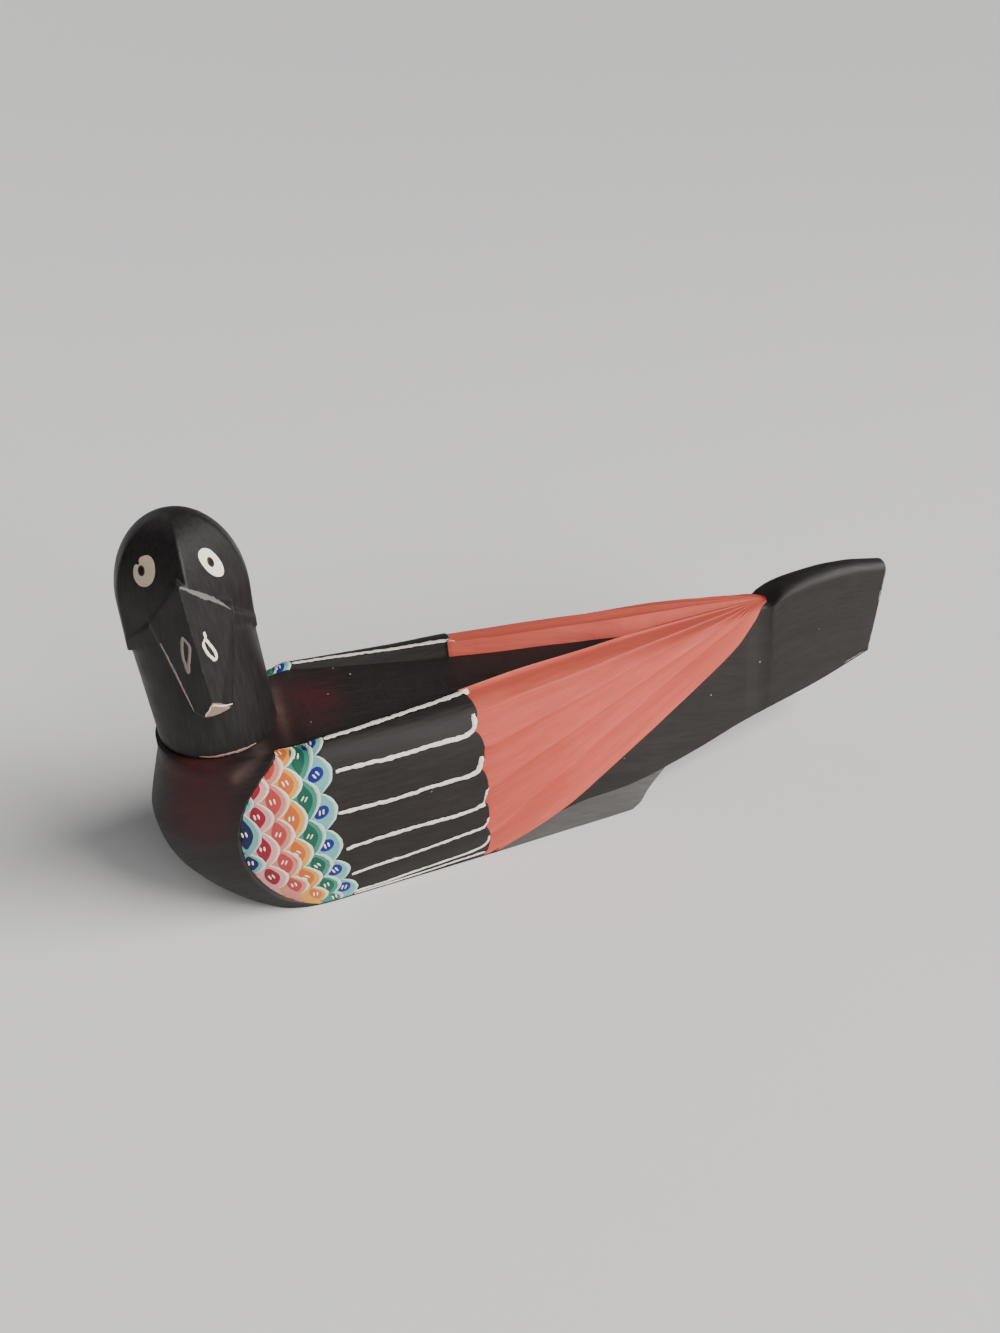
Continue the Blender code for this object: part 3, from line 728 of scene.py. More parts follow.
# The white lines between the black feathers, in millimetres along the body and across the wing, with
# half their widths
FEATHER_LINES = (
    (((57.0, 0.9), (72.0, 1.4), (90.0, 1.3), (104.0, 1.3), (110.3, 0.9)), 1.05),
    (((58.4, 14.6), (66.5, 15.2), (77.0, 16.3), (90.0, 16.7), (101.5, 17.6), (105.9, 17.2), (108.0, 15.0),
      (108.3, 11.4)), 0.80),
    (((57.3, 32.3), (66.1, 32.9), (78.3, 33.5), (91.0, 33.1), (102.0, 33.5), (106.7, 32.9), (108.5, 30.3),
      (108.9, 27.2)), 0.84),
    (((58.6, 50.3), (69.5, 49.5), (83.7, 49.4), (96.6, 49.8), (105.0, 49.4), (109.0, 48.3), (110.5, 45.5),
      (110.7, 42.0)), 0.84),
    (((59.6, 64.3), (70.3, 63.1), (81.0, 62.6), (93.1, 61.4), (102.3, 60.5), (107.9, 60.0), (110.6, 58.3),
      (111.2, 55.6)), 0.70),
    (((59.5, 74.6), (72.4, 74.2), (82.3, 73.2), (96.6, 72.2), (106.0, 71.2), (109.6, 69.8), (111.1, 67.8),
      (111.4, 65.4)), 0.56),
    (((59.8, 75.9), (80.0, 75.5), (96.0, 74.8), (106.0, 74.4), (110.2, 74.1)), 0.48),
)

# Marks on the head, in millimetres across and up from its middle. The eyes are seen square to the
# forehead's facets and the other marks from the front
RIGHT_EYE = (
    (-4.1, 133.7), (-2.3, 133.9), (-0.4, 133.0), (1.0, 130.6), (1.7, 127.6), (1.2, 125.3),
    (-0.1, 124.6), (-2.3, 125.4), (-4.3, 127.6), (-5.4, 130.4), (-5.3, 132.6),
)
RIGHT_PUPIL = (-2.1, 129.8)
LEFT_EYE = (
    (-1.9, 133.2), (0.5, 134.0), (2.5, 133.1), (3.4, 131.2), (3.4, 128.9), (2.4, 126.8), (0.3, 125.4),
    (-2.0, 125.5), (-3.6, 127.1), (-4.0, 129.3), (-3.5, 131.0), (-2.1, 131.2), (-2.4, 132.2),
)
LEFT_PUPIL = (-1.2, 129.7)
PUPIL_SIZE = (1.2, 1.5)
PUPIL_INNER = 0.68
PUPIL_LEAN = 0.12
RIGHT_NOSTRIL = (
    (2.3, 113.2), (2.5, 111.3), (1.5, 109.9), (2.0, 107.2), (3.3, 104.3), (4.1, 103.4), (4.6, 104.2),
    (4.3, 106.2), (3.4, 108.6), (2.6, 110.4), (2.0, 110.9),
)
LEFT_NOSTRIL = (
    (-3.7, 113.0), (-4.3, 110.8), (-4.8, 106.4), (-4.6, 103.0), (-4.3, 100.5), (-3.5, 104.6),
    (-2.5, 109.5), (-3.1, 111.4), (-3.8, 112.6),
)
NOSTRIL_WIDTH = 0.42
# A light line along the bill's left arris: worn paint and a painted highlight
BILL_EDGE_HIGHLIGHT_LINE = ((-10.2, 109.0), (-8.3, 101.5), (-6.4, 93.4), (-4.9, 87.0))
BILL_EDGE_HIGHLIGHT_WIDTH = 0.28
# A painted highlight, with a little wear, along the chamfer where the bill's root meets the forehead on the
# right
BROW_HIGHLIGHT_LINE = ((-1.9, 128.6), (0.3, 126.8), (4.4, 122.7), (8.4, 118.9), (11.6, 115.0))
BROW_HIGHLIGHT_WIDTH = 0.5
SEAM_LINE = ((-9.0, 65.2), (-5.0, 64.9), (0.0, 64.9), (5.0, 64.9), (10.0, 65.0))
SEAM_WIDTH = 0.7
TIP_OUTLINE = ((-2.0, 86.1), (-0.6, 88.6), (0.6, 90.6), (3.0, 88.9), (6.6, 86.6))
TIP_OUTLINE_WIDTH = 0.24


def cached_sections():
    """Fine cross-sections behind the shoulder, so that each line can be read at any station."""
    stations = np.sort(np.append(np.linspace(WING_START, 1, SECTION_STATIONS), (WING_TIP - TINY, WING_TIP)))
    return stations, np.array([section(station) for station in stations])


FINE_STATIONS, FINE_SECTIONS = cached_sections()


def fine_point(line, station):
    """The smooth body's point on one line, as x, y and z, read from the fine cross-sections."""
    if station < WING_START:
        _, y, z = breast_point(line, breast_angle(line, station))
    else:
        y, z = (np.interp(station, FINE_STATIONS, FINE_SECTIONS[:, line, i]) for i in (0, 1))
    return (station - 0.5) * BODY_LENGTH, y, z


def wing_across():
    """The distance across the wing, from the ridge to the lower edge, where the black feathers end."""
    outline = section(SCALLOP_STATION)[RIDGE : WING_EDGE + 1]
    return float(np.hypot(*np.diff(outline, axis=0).T).sum())


WING_ACROSS = wing_across()


# How strongly painted shade darkens the flutes, from the black feathers (0) to the wing's tip (1)
PAINTED_FLUTE_SHADE_FADE = ((0.0, 0.75), (0.15, 0.65), (0.5, 1.0), (0.85, 1.0), (1.0, 0.3))


def paint_slot(row, line, first_rear, tip_row, x):
    """Which paint a face of the body has: coral on the wings and between them, dusty black with a painted
    reflection on the foot.
    """
    if line == CREASE and row >= first_rear:
        return FOOT_DUST_AND_SHEEN_SLOT
    if not first_rear <= row < tip_row:
        return BLACK_SLOT
    behind_trough = line == 0 and x > (TROUGH_TIP - 0.5) * BODY_LENGTH
    return CORAL_SLOT if 1 <= line < WING_EDGE or behind_trough else BLACK_SLOT


def make_body():
    """The fine mesh of the body, with the wings' coral faces in their own material slot."""
    first_rear = BREAST_STEPS + SCALE_STEPS + 2
    tip_row = first_rear + len(rear_stations()) - 1
    shape = bmesh.new()
    brush = shape.verts.layers.float_vector.new("brush")
    marks = shape.verts.layers.float_vector.new("marks")
    for side in (1, -1):
        lines = [line_points(line, side) for line in range(BASE_MIDDLE + 1)]
        grid = np.array([points for points, _ in lines]).transpose(1, 0, 2)
        relief = np.array([heights for _, heights in lines]).T
        grid = raised(grid, relief)
        rows, columns = grid.shape[:2]
        steps = np.diff(grid, axis=1, prepend=grid[:, :1])
        across = np.cumsum(np.hypot(steps[..., 1], steps[..., 2]), axis=1)
        verts = []
        for i in range(rows):
            row = []
            for j in range(columns):
                x, y, z = grid[i, j]
                vert = shape.verts.new((x, side * y, z))
                walked = across[i, j]
                painted_shade = 0.0
                if first_rear <= i <= tip_row and RIDGE <= j <= WING_EDGE:
                    along = (i - first_rear) / (tip_row - first_rear)
                    walked = wing_shares(along)[j - RIDGE] * WING_ACROSS
                    # Painted shade: the coral is darkened just below each flute's crest, fading along the
                    # wing
                    painted_shade = painted_flute_shade(j) * curve(PAINTED_FLUTE_SHADE_FADE, along)
                vert[brush] = (x, walked * side, side)
                # marks: maroon undercoat, wear with painted highlight, and painted shade in the flutes
                vert[marks] = (maroon_share(x, side * y, z), worn_and_highlight_share(x, side * y, z), painted_shade)
                row.append(vert)
            verts.append(row)
        for i in range(rows - 1):
            for j in range(columns - 1):
                quad = (verts[i][j], verts[i + 1][j], verts[i + 1][j + 1], verts[i][j + 1])
                face = shape.faces.new(quad if side > 0 else quad[::-1])
                face.material_index = paint_slot(i, j, first_rear, tip_row, grid[i, j, 0])
                face.smooth = True
    bmesh.ops.remove_doubles(shape, verts=shape.verts, dist=BODY_MERGE)
    bmesh.ops.dissolve_degenerate(shape, dist=TINY, edges=shape.edges)
    rim = [edge for edge in shape.edges if edge.is_boundary]
    bmesh.ops.contextual_create(shape, geom=rim)
    bmesh.ops.recalc_face_normals(shape, faces=shape.faces)
    made = finished("painted_body", shape, bpy.context.scene.collection)
    made.data.set_sharp_from_angle(angle=SHARP_ANGLE)
    return made


# Maroon undercoat that shows through the black, as middles and reaches
MAROON_PATCHES = (
    ((-0.095, 0.0, 0.0645), (0.013, 0.015, 0.012)),
    ((-0.135, -0.018, 0.051), (0.015, 0.014, 0.019)),
)

# Where the black is rubbed to brown and lightened as a painted highlight on edges that catch the light, as
# lines
# through places and how far it reaches: round the neck's foot and down the bib's rim
WORN_AND_HIGHLIGHT_LINES = (
    (((-0.104, 0.013, 0.064), (-0.1022, 0.004, 0.064), (-0.1035, -0.006, 0.064), (-0.109, -0.015, 0.064),
      (-0.1145, -0.0225, 0.0635)), 0.0021),
    (((-0.109, -0.015, 0.064), (-0.1150, -0.0240, 0.0635), (-0.1185, -0.0265, 0.0625),
      (-0.1225, -0.0272, 0.0605)), 0.0020),
)

# How the arrises' wear is spread, and how convex they are where it is full
WEAR_BLUR = 0.6
WEAR_BULGE = 0.1

# How far from the bill's cut, along it and into it, the wood is bare, and how squarely it faces out
BARE_REACH = 0.014
BARE_DEPTH = 0.0008
BARE_FACING = 0.7


def maroon_share(x, y, z):
    """How much of the maroon undercoat shows at a point."""
    most = 0.0
    for middle, reach in MAROON_PATCHES:
        far = sum(((p - m) / r) ** 2 for p, m, r in zip((x, y, z), middle, reach))
        most = max(most, math.exp(-(far**2)))
    return most


def worn_and_highlight_share(x, y, z):
    """How rubbed the paint is at a point, and how much painted highlight it gets there."""
    most = 0.0
    for places, reach in WORN_AND_HIGHLIGHT_LINES:
        for start, end in zip(places, places[1:]):
            start, run = Vector(start), Vector(end) - Vector(start)
            off = Vector((x, y, z)) - start
            off -= run * clamp(off.dot(run) / run.length_squared)
            most = max(most, math.exp(-((off.length / reach) ** 2)))
    return most


def make_painted_head():
    """The head and neck, joined from fine blanks and remeshed, with its chisel edges a little worn."""
    helpers = bpy.data.collections.new("helpers")
    bpy.context.scene.collection.children.link(helpers)
    rough = make_head(helpers)
    remesh = rough.modifiers.new("even mesh", "REMESH")
    remesh.mode = "VOXEL"
    remesh.voxel_size = HEAD_VOXEL
    worn = rough.modifiers.new("worn edges", "SMOOTH")
    worn.iterations = EDGE_WEAR_STEPS
    worn.factor = EDGE_WEAR
    graph = bpy.context.evaluated_depsgraph_get()
    mesh = bpy.data.meshes.new_from_object(rough.evaluated_get(graph))
    mesh.name = "painted_head"
    made = mesh_object("painted_head", mesh, bpy.context.scene.collection)
    for helper in list(helpers.objects):
        bpy.data.objects.remove(helper, do_unlink=True)
    bpy.data.collections.remove(helpers)
    mesh.materials.clear()
    for face in mesh.polygons:
        face.use_smooth = True
    return made


def surface_of(piece):
    """The piece's surface, to lay paint on."""
    return BVHTree.FromPolygons(
        [vertex.co for vertex in piece.data.vertices], [face.vertices for face in piece.data.polygons]
    )


def wing_point(along, across):
    """A point of the plain wing, along from the breast and across from the ridge, below 0 inside."""
    if across < 0:
        upper, lower = (Vector(fine_point(line, along / BODY_LENGTH)) for line in (RIDGE, TROUGH_EDGE))
        return upper.lerp(lower, min(-across / (upper - lower).length, 1))
    share = clamp(across / WING_ACROSS)
    i = min(int(np.searchsorted(FRONT_SHARES, share, side="right")), len(FRONT_SHARES) - 1) - 1
    part = (share - FRONT_SHARES[i]) / (FRONT_SHARES[i + 1] - FRONT_SHARES[i])
    upper, lower = (Vector(fine_point(RIDGE + k, along / BODY_LENGTH)) for k in (i, i + 1))
    return upper.lerp(lower, part)


RIM_STATIONS = [bib_edge(RIDGE + i) for i in range(len(FRONT_SHARES))]


def rim_along(across):
    """How far along the body the bib's rim lies at a distance across the wing."""
    share = clamp(across / WING_ACROSS)
    return float(np.interp(share, FRONT_SHARES, RIM_STATIONS)) * BODY_LENGTH


def wing_place(surface, side):
    """Finds the surface under a place on a wing's chart, on one side of the body."""

    def place(along, across):
        if side > 0 and along > FEATHER_START:
            stretch = (along - FEATHER_START) / (FEATHER_END - FEATHER_START)
            along += stretch * far_shift(clamp(across / WING_ACROSS))
        along = max(along, rim_along(across) + RIM_MARGIN)
        x, y, z = wing_point(along, across)
        return surface.find_nearest(Vector((x, side * y, z)))[:2]

    return place


def outward(turn):
    """The level direction at a turn from the front."""
    return Vector((math.sin(turn), -math.cos(turn), 0))


def head_place(surface, turn):
    """Finds the head's surface under a place seen square-on at a turn about the head's middle."""
    out = outward(turn)
    right = Vector((math.cos(turn), math.sin(turn), 0))
    middle = Vector((HEAD_MIDDLE, 0, 0))

    def place(across, height):
        start = middle + right * across + out * HEAD_DIAMETER * 2
        return surface.ray_cast(start + Vector((0, 0, height)), -out)[:2]

    return place


def neck_place(surface):
    """Finds the neck's surface: the distance is walked round it from its front."""
    middle = Vector((NECK_MIDDLE, 0, 0))

    def place(around, height):
        out = outward(around / NECK_RADIUS)
        return surface.ray_cast(middle + out * NECK_DIAMETER + Vector((0, 0, height)), -out)[:2]

    return place


def smooth_path(points, step, closed=False):
    """Points at even steps along the smooth curve through the points (Catmull-Rom)."""
    points = [np.array(point, float) for point in points]
    if closed:
        ends = [points[-1], *points, points[0], points[1]]
    else:
        ends = [2 * points[0] - points[1], *points, 2 * points[-1] - points[-2]]
    dense = []
    for before, start, end, after in zip(ends, ends[1:], ends[2:], ends[3:]):
        square = 2 * before - 5 * start + 4 * end - after
        cube = 3 * start - before - 3 * end + after
        for t in np.linspace(0, 1, PATH_SAMPLES, endpoint=False):
            dense.append(0.5 * (2 * start + (end - before) * t + square * t**2 + cube * t**3))
    dense.append(dense[0] if closed else points[-1])
    dense = np.array(dense)
    walked = np.concatenate([[0], np.cumsum(np.linalg.norm(np.diff(dense, axis=0), axis=1))])
    count = max(int(walked[-1] / step), 6)
    targets = np.linspace(0, walked[-1], count + 1)
    return np.column_stack([np.interp(targets, walked, dense[:, i]) for i in (0, 1)])


def wobble(*place):
    """Smooth noise from -1 to 1."""
    return noise.noise(Vector(place))


def stroke(path, widths, ragged, seed, base=0.0):
    """A brush stroke along a path as rows of (x, y, lift), with edges that wander a little."""
    ahead = np.gradient(path, axis=0)
    ahead /= np.maximum(np.linalg.norm(ahead, axis=1, keepdims=True), 1e-9)
    sideways = np.column_stack([-ahead[:, 1], ahead[:, 0]])
    rows = []
    for i, (point, out, width) in enumerate(zip(path, sideways, widths)):
        row = []
        for across, lift in STROKE_SECTION:
            wander = wobble(i * 0.35, seed * 7.3 + math.copysign(5, across), 0.5)
            wander += 0.5 * wobble(i * 1.1, seed * 3.1 + math.copysign(9, across), 1.5)
            half = width * (1 + ragged * wander)
            row.append((*(point + out * across * half), base - EDGE_DROP + lift * STROKE_LIFT))
        rows.append(row)
    return rows


def between(left, right, lift, columns=8):
    """A flat area of paint between two lines, as rows of (x, y, lift)."""
    edge = lift - EDGE_DROP
    heights = [edge, *[lift] * (columns - 1), edge]
    shares = [step / columns for step in range(columns + 1)]
    rows = []
    for start, end in zip(left, right):
        points = [start * (1 - share) + end * share for share in shares]
        rows.append([(*point, height) for point, height in zip(points, heights)])
    return rows


def disc(outline, lift, rings=5):
    """A flat area of paint inside an outline, as rows from its middle to its edge."""
    middle = np.mean(outline[:-1], axis=0)
    rows = []
    for ring in range(rings + 1):
        height = lift - EDGE_DROP if ring == rings else lift
        rows.append([(*(middle + (point - middle) * (ring / rings)), height) for point in outline])
    return rows


def oval(middle, size, lean=0.0):
    """A closed oval outline."""
    turns = np.linspace(0, 2 * math.pi, OVAL_STEPS + 1)
    x = size[0] * np.cos(turns)
    y = size[1] * np.sin(turns)
    level, upright = math.cos(lean), math.sin(lean)
    return np.column_stack([middle[0] + x * level - y * upright, middle[1] + x * upright + y * level])


def tapered(count, start=0.25, end=0.25):
    """Width shares of a stroke that starts and ends thin."""
    along = np.linspace(0, 1, count)
    return np.clip(np.minimum((along + TIP) / start, (1 + TIP - along) / end), 0, 1) ** 0.6


def chain_along(column, across):
    """How far along the body a column's chain of cusps lies at a place across the wing, in millimetres."""
    return column + SCALE_BOW * max(across - SCALE_BOW_START, 0) ** 2


def ground_mark(number):
    """The ground colour of one column of scales, from its chain forward to the rim of the bib."""
    column, _, ground, _, _ = SCALE_COLUMNS[number]
    across = np.linspace(0, WING_ACROSS / MM, 90)
    chain = np.array([chain_along(column, at) for at in across])
    rear = np.column_stack([chain + 0.5, across])
    front = np.column_stack([chain - SCALE_DEPTH, across])
    return ground, between(front * MM, rear * MM, FILL_LIFT, 6)


def scale_mark(number, top, bottom, seed):
    """One painted scale: its ground, its dark lens, its pale arc and two white ticks."""
    column, _, ground, lens, arc = SCALE_COLUMNS[number]
    lift = FILL_LIFT * (1.5 + 0.3 * number)
    lens_lift = lift + FILL_LIFT
    tall = bottom - top
    turns = np.linspace(0, 1, max(int(tall / SCALE_ROW), LEAST_ROWS))
    across = top + tall * turns
    chain = np.array([chain_along(column, at) for at in across])
    bulge = min(SCALE_BULGE, BULGE_SHARE * tall) * np.sin(math.pi * turns) ** BULGE_POWER
    rear = np.column_stack([chain + bulge, across])
    front = np.column_stack([chain - 0.5 * SCALE_DEPTH * np.sin(math.pi * turns), across])
    marks = [(ground, between(front * MM, rear * MM, lift))]
    middle = top + (SPOT_PLACE + SPOT_WANDER * wobble(seed, 0.4, 0.9)) * tall
    centre = chain_along(column, middle) - SPOT_SETBACK
    if number == 0:
        size = min(SPOT_RADIUS, SPOT_SHARE * tall)
        marks.append((lens, disc(oval((centre, middle), (size, size * SPOT_TALL)) * MM, lens_lift)))
    else:
        pinch = np.sin(math.pi * np.clip((turns - LENS_START) / LENS_RUN, 0, 1)) ** LENS_POWER
        width = min(LENS_WIDTH, LENS_SHARE * tall) * pinch
        left = chain - LENS_SETBACK - LENS_FRONT * width
        right = chain - LENS_SETBACK + LENS_REAR * width + LENS_FOLLOW * bulge * pinch
        sides = [np.column_stack([edge, across])[pinch > 0.02] * MM for edge in (left, right)]
        marks.append((lens, between(*sides, lens_lift, 6)))
    path = smooth_path(rear * MM, BRISTLE_STEP)
    swell = ARC_TIP + (1 - ARC_TIP) * np.sin(np.linspace(0, math.pi, len(path))) ** 0.8
    marks.append((arc, stroke(path, ARC_WIDTH * MM * swell, 0.35, seed, lift)))
    lean = TICK_LEAN * wobble(seed * 1.7, 2.2, 0.3)
    for tick in (-0.5, 0.5):
        spot = np.array([centre, middle]) + tick * TICK_GAP * np.array([math.cos(lean), -math.sin(lean)])
        along = TICK_LENGTH / 2 * np.array([math.sin(lean), math.cos(lean)])
        path = smooth_path([(spot - along) * MM, spot * MM, (spot + along) * MM], TICK_STEP)
        widths = TICK_WIDTH * MM * tapered(len(path))
        marks.append(("white", stroke(path, widths, 0.2, seed + tick, lens_lift)))
    return marks


def scale_marks():
    """The painted scales, column by column from the rear, so that the front ones overlap the rear ones."""
    marks = []
    for number, (_, cusps, _, _, _) in enumerate(SCALE_COLUMNS):
        marks.append(ground_mark(number))
        for place, (top, bottom) in enumerate(zip(cusps, cusps[1:])):
            marks += scale_mark(number, top, bottom, number * 10 + place)
    return marks


def spot_place(surface, centre):
    """Finds the surface round one spot, on a chart whose middle is the spot."""
    found, normal = surface.find_nearest(Vector(centre) * MM)[:2]
    right = normal.orthogonal().normalized()
    up = normal.cross(right)

    def place(across, height):
        return surface.find_nearest(found + right * across + up * height)[:2]

    return place


def side_place(surface, side):
    """Finds the body's surface under a place seen from one side."""

    def place(along, height):
        start = Vector((along, side * BODY_WIDTH, height))
        return surface.ray_cast(start, Vector((0, -side, 0)))[:2]

    return place


def speck_groups(surface):
    """Small pale specks, each a fleck of paint, with the way to find the surface under each."""
    groups = []
    for number, (centre, size) in enumerate(SPECKS):
        outline = oval((0, 0), (size * MM, SPECK_FLATNESS * size * MM), number)
        groups.append(([("dusty cream", disc(outline, FILL_LIFT, 2))], spot_place(surface, centre)))
    return groups


def feather_marks():
    """The white lines between the black feathers."""
    marks = []
    for number, (points, width) in enumerate(FEATHER_LINES):
        path = smooth_path(np.array(points) * MM, BRISTLE_STEP)
        curl = np.clip((np.linspace(0, 1, len(path)) - CURL_START) / CURL_RUN, 0, 1)
        widths = width * MM * tapered(len(path), 0.04, 0.05) * (1 + CURL_SWELL * curl)
        marks.append(("white", stroke(path, widths, 0.5, number)))
    return marks


def lay_marks(shape, paint, marks, place):
    """Lays marks on a surface: each is a grid of places and lifts, in one colour."""
    for number, (colour, rows) in enumerate(marks):
        shade = 1 + TINT_CHANGE * wobble(number * 3.1, 0.7, 0.2)
        tint = (*[channel * shade for channel in linear(PAINTS[colour])], 1)
        laid = []
        for row in rows:
            verts = []
            for x, y, lift in row:
                found, normal = place(x, y)
                if found is None:
                    verts.append(None)
                    continue
                vert = shape.verts.new(found + normal * lift)
                vert[paint] = tint
                verts.append(vert)
            laid.append(verts)
        for lower, upper in zip(laid, laid[1:]):
            for i in range(len(lower) - 1):
                corners = (lower[i], lower[i + 1], upper[i + 1], upper[i])
                if None not in corners:
                    shape.faces.new(corners).smooth = True


def linear(colour):
    """A colour from sRGB (0 to 255) in linear light."""
    return [((c / 255 + 0.055) / 1.055) ** 2.4 if c > 10 else c / 255 / 12.92 for c in colour]


def painted_marks(name, groups):
    """One mesh of raised paint: each group is marks and the way to find their surface."""
    shape = bmesh.new()
    paint = shape.verts.layers.float_color.new("paint")
    for marks, place in groups:
        lay_marks(shape, paint, marks, place)
    bmesh.ops.dissolve_degenerate(shape, dist=TINY, edges=shape.edges)
    return finished(name, shape, bpy.context.scene.collection)


def face_outward(piece, surface):
    """Turns the paint's faces away from the surface that carries it."""
    shape = bmesh.new()
    shape.from_mesh(piece.data)
    for face in shape.faces:
        normal = surface.find_nearest(face.calc_center_median())[1]
        if face.normal.dot(normal) < 0:
            face.normal_flip()
    shape.to_mesh(piece.data)
    shape.free()


def eye_marks(outline, pupil, colour):
    """A painted eye: a pale ring round a dark pupil with a thin brown rim."""
    middle = np.array(pupil) * MM
    size = np.array(PUPIL_SIZE) * MM
    ring, rim, inner = EYE_LIFTS
    return [
        (colour, disc(smooth_path(np.array(outline) * MM, FINE_STEP, closed=True), ring, 8)),
        ("brown", disc(oval(middle, size, PUPIL_LEAN), rim, 4)),
        ("pupil", disc(oval(middle, size * PUPIL_INNER, PUPIL_LEAN), inner, 4)),
    ]


def line_mark(colour, points, width, start=0.15, end=0.15, ragged=0.25, seed=0):
    path = smooth_path(np.array(points) * MM, FINE_STEP)
    return (colour, stroke(path, width * MM * tapered(len(path), start, end), ragged, seed))


def wing_groups(surface):
    """The marks on the body, with the way to find the surface under each."""
    marks = scale_marks() + feather_marks()
    chips = [line_mark("dusty cream", edge, width, ragged=1.2, seed=width) for edge, width in CHIPPED_EDGES]
    groups = [(marks, wing_place(surface, side)) for side in (-1, 1)]
    groups += speck_groups(surface)
    return groups + [(chips, side_place(surface, side)) for side in (-1, 1)]


def head_groups(surface):
    """The marks on the head, with the way to find the surface under each."""
    right = head_place(surface, FOREHEAD_TURN)
    left = head_place(surface, -FOREHEAD_TURN)
    front = head_place(surface, 0)
    return [
        (eye_marks(RIGHT_EYE, RIGHT_PUPIL, "white"), right),
        # The left eye's ring is the right eye's white, darkened as painted shade on the head's shaded left
        # side
        (eye_marks(LEFT_EYE, LEFT_PUPIL, "white in painted shade"), left),
        ([line_mark("white", RIGHT_NOSTRIL, NOSTRIL_WIDTH, 0.05, 0.05, seed=1)], front),
        # The left nostril's white, darkened to dusty cream as painted shade on the shaded left side
        ([line_mark("dusty cream", LEFT_NOSTRIL, NOSTRIL_WIDTH, 0.05, 0.05, seed=2)], front),
        # painted highlight and wear along the bill's left arris
        ([line_mark("dusty cream", BILL_EDGE_HIGHLIGHT_LINE, BILL_EDGE_HIGHLIGHT_WIDTH, 0.1, 0.3, 0.5, 3)], front),
        ([line_mark("cream", TIP_OUTLINE, TIP_OUTLINE_WIDTH, 0.1, 0.1, 0.6, 6)], front),
        # painted highlight and wear along the brow's chamfer
        ([line_mark("worn highlight grey", BROW_HIGHLIGHT_LINE, BROW_HIGHLIGHT_WIDTH, 0.3, 0.5, 0.6, 4)], front),
        ([line_mark("bare wood", SEAM_LINE, SEAM_WIDTH, 0.5, 0.4, 0.5, 5)], neck_place(surface)),
    ]


SHEEN = 0.26
CORAL_SHEEN = 0.15
BLACK_DEEP = (0.0075, 0.0065, 0.0063)
BLACK_THIN = (0.034, 0.0255, 0.0225)
HEAD_THIN = (0.017, 0.0145, 0.014)
HEAD_WORN = (0.085, 0.075, 0.07)
MAROON = (0.05, 0.01, 0.011)
# Light brown for rubbed paint and for the painted highlight on the bib's rim and the neck's foot
WORN_WOOD_AND_HIGHLIGHT = (0.095, 0.058, 0.05)
BARE_WOOD = (0.3, 0.2, 0.165)
# The foot's black, lightened for dust and for a painted reflection of the pale table
DUSTY_SHEEN_DEEP = (0.0575, 0.054, 0.051)
DUSTY_SHEEN_THIN = (0.115, 0.108, 0.102)
CORAL_DEEP = (0.45, 0.07, 0.047)
CORAL_THIN = (0.62, 0.13, 0.093)
# Painted shade below the flutes' crests, and how much of it is laid on the coral
CORAL_PAINTED_SHADE = (0.33, 0.04, 0.027)
THICK_PAINT = (0.62, 0.6, 0.58)
PAINTED_SHADE_SHARE = 0.55

# Noise: its detail and roughness, the range that most of it lies in, and how dense it is on each axis
FINE, BROAD, MOTTLED = (4.0, 0.6), (3.0, 0.5), (3.0, 0.6)
MOST = (0.3, 0.7)
STREAKS = (110, 900, 30)
LONG_STREAKS = (30, 210, 10)
HEAD_STREAKS = (900, 900, 110)

# The roughness where a paint is smoothest and roughest, and the height of its brush marks
BLACK_ROUGHNESS = (0.46, 0.6)
CORAL_ROUGHNESS = (0.55, 0.68)
HEAD_ROUGHNESS = (0.42, 0.54)
STROKE_ROUGHNESS = (0.34, 0.48)
BRUSH_RELIEF = 0.00012
HEAD_RELIEF = 0.0001
STROKE_RELIEF = 0.00006


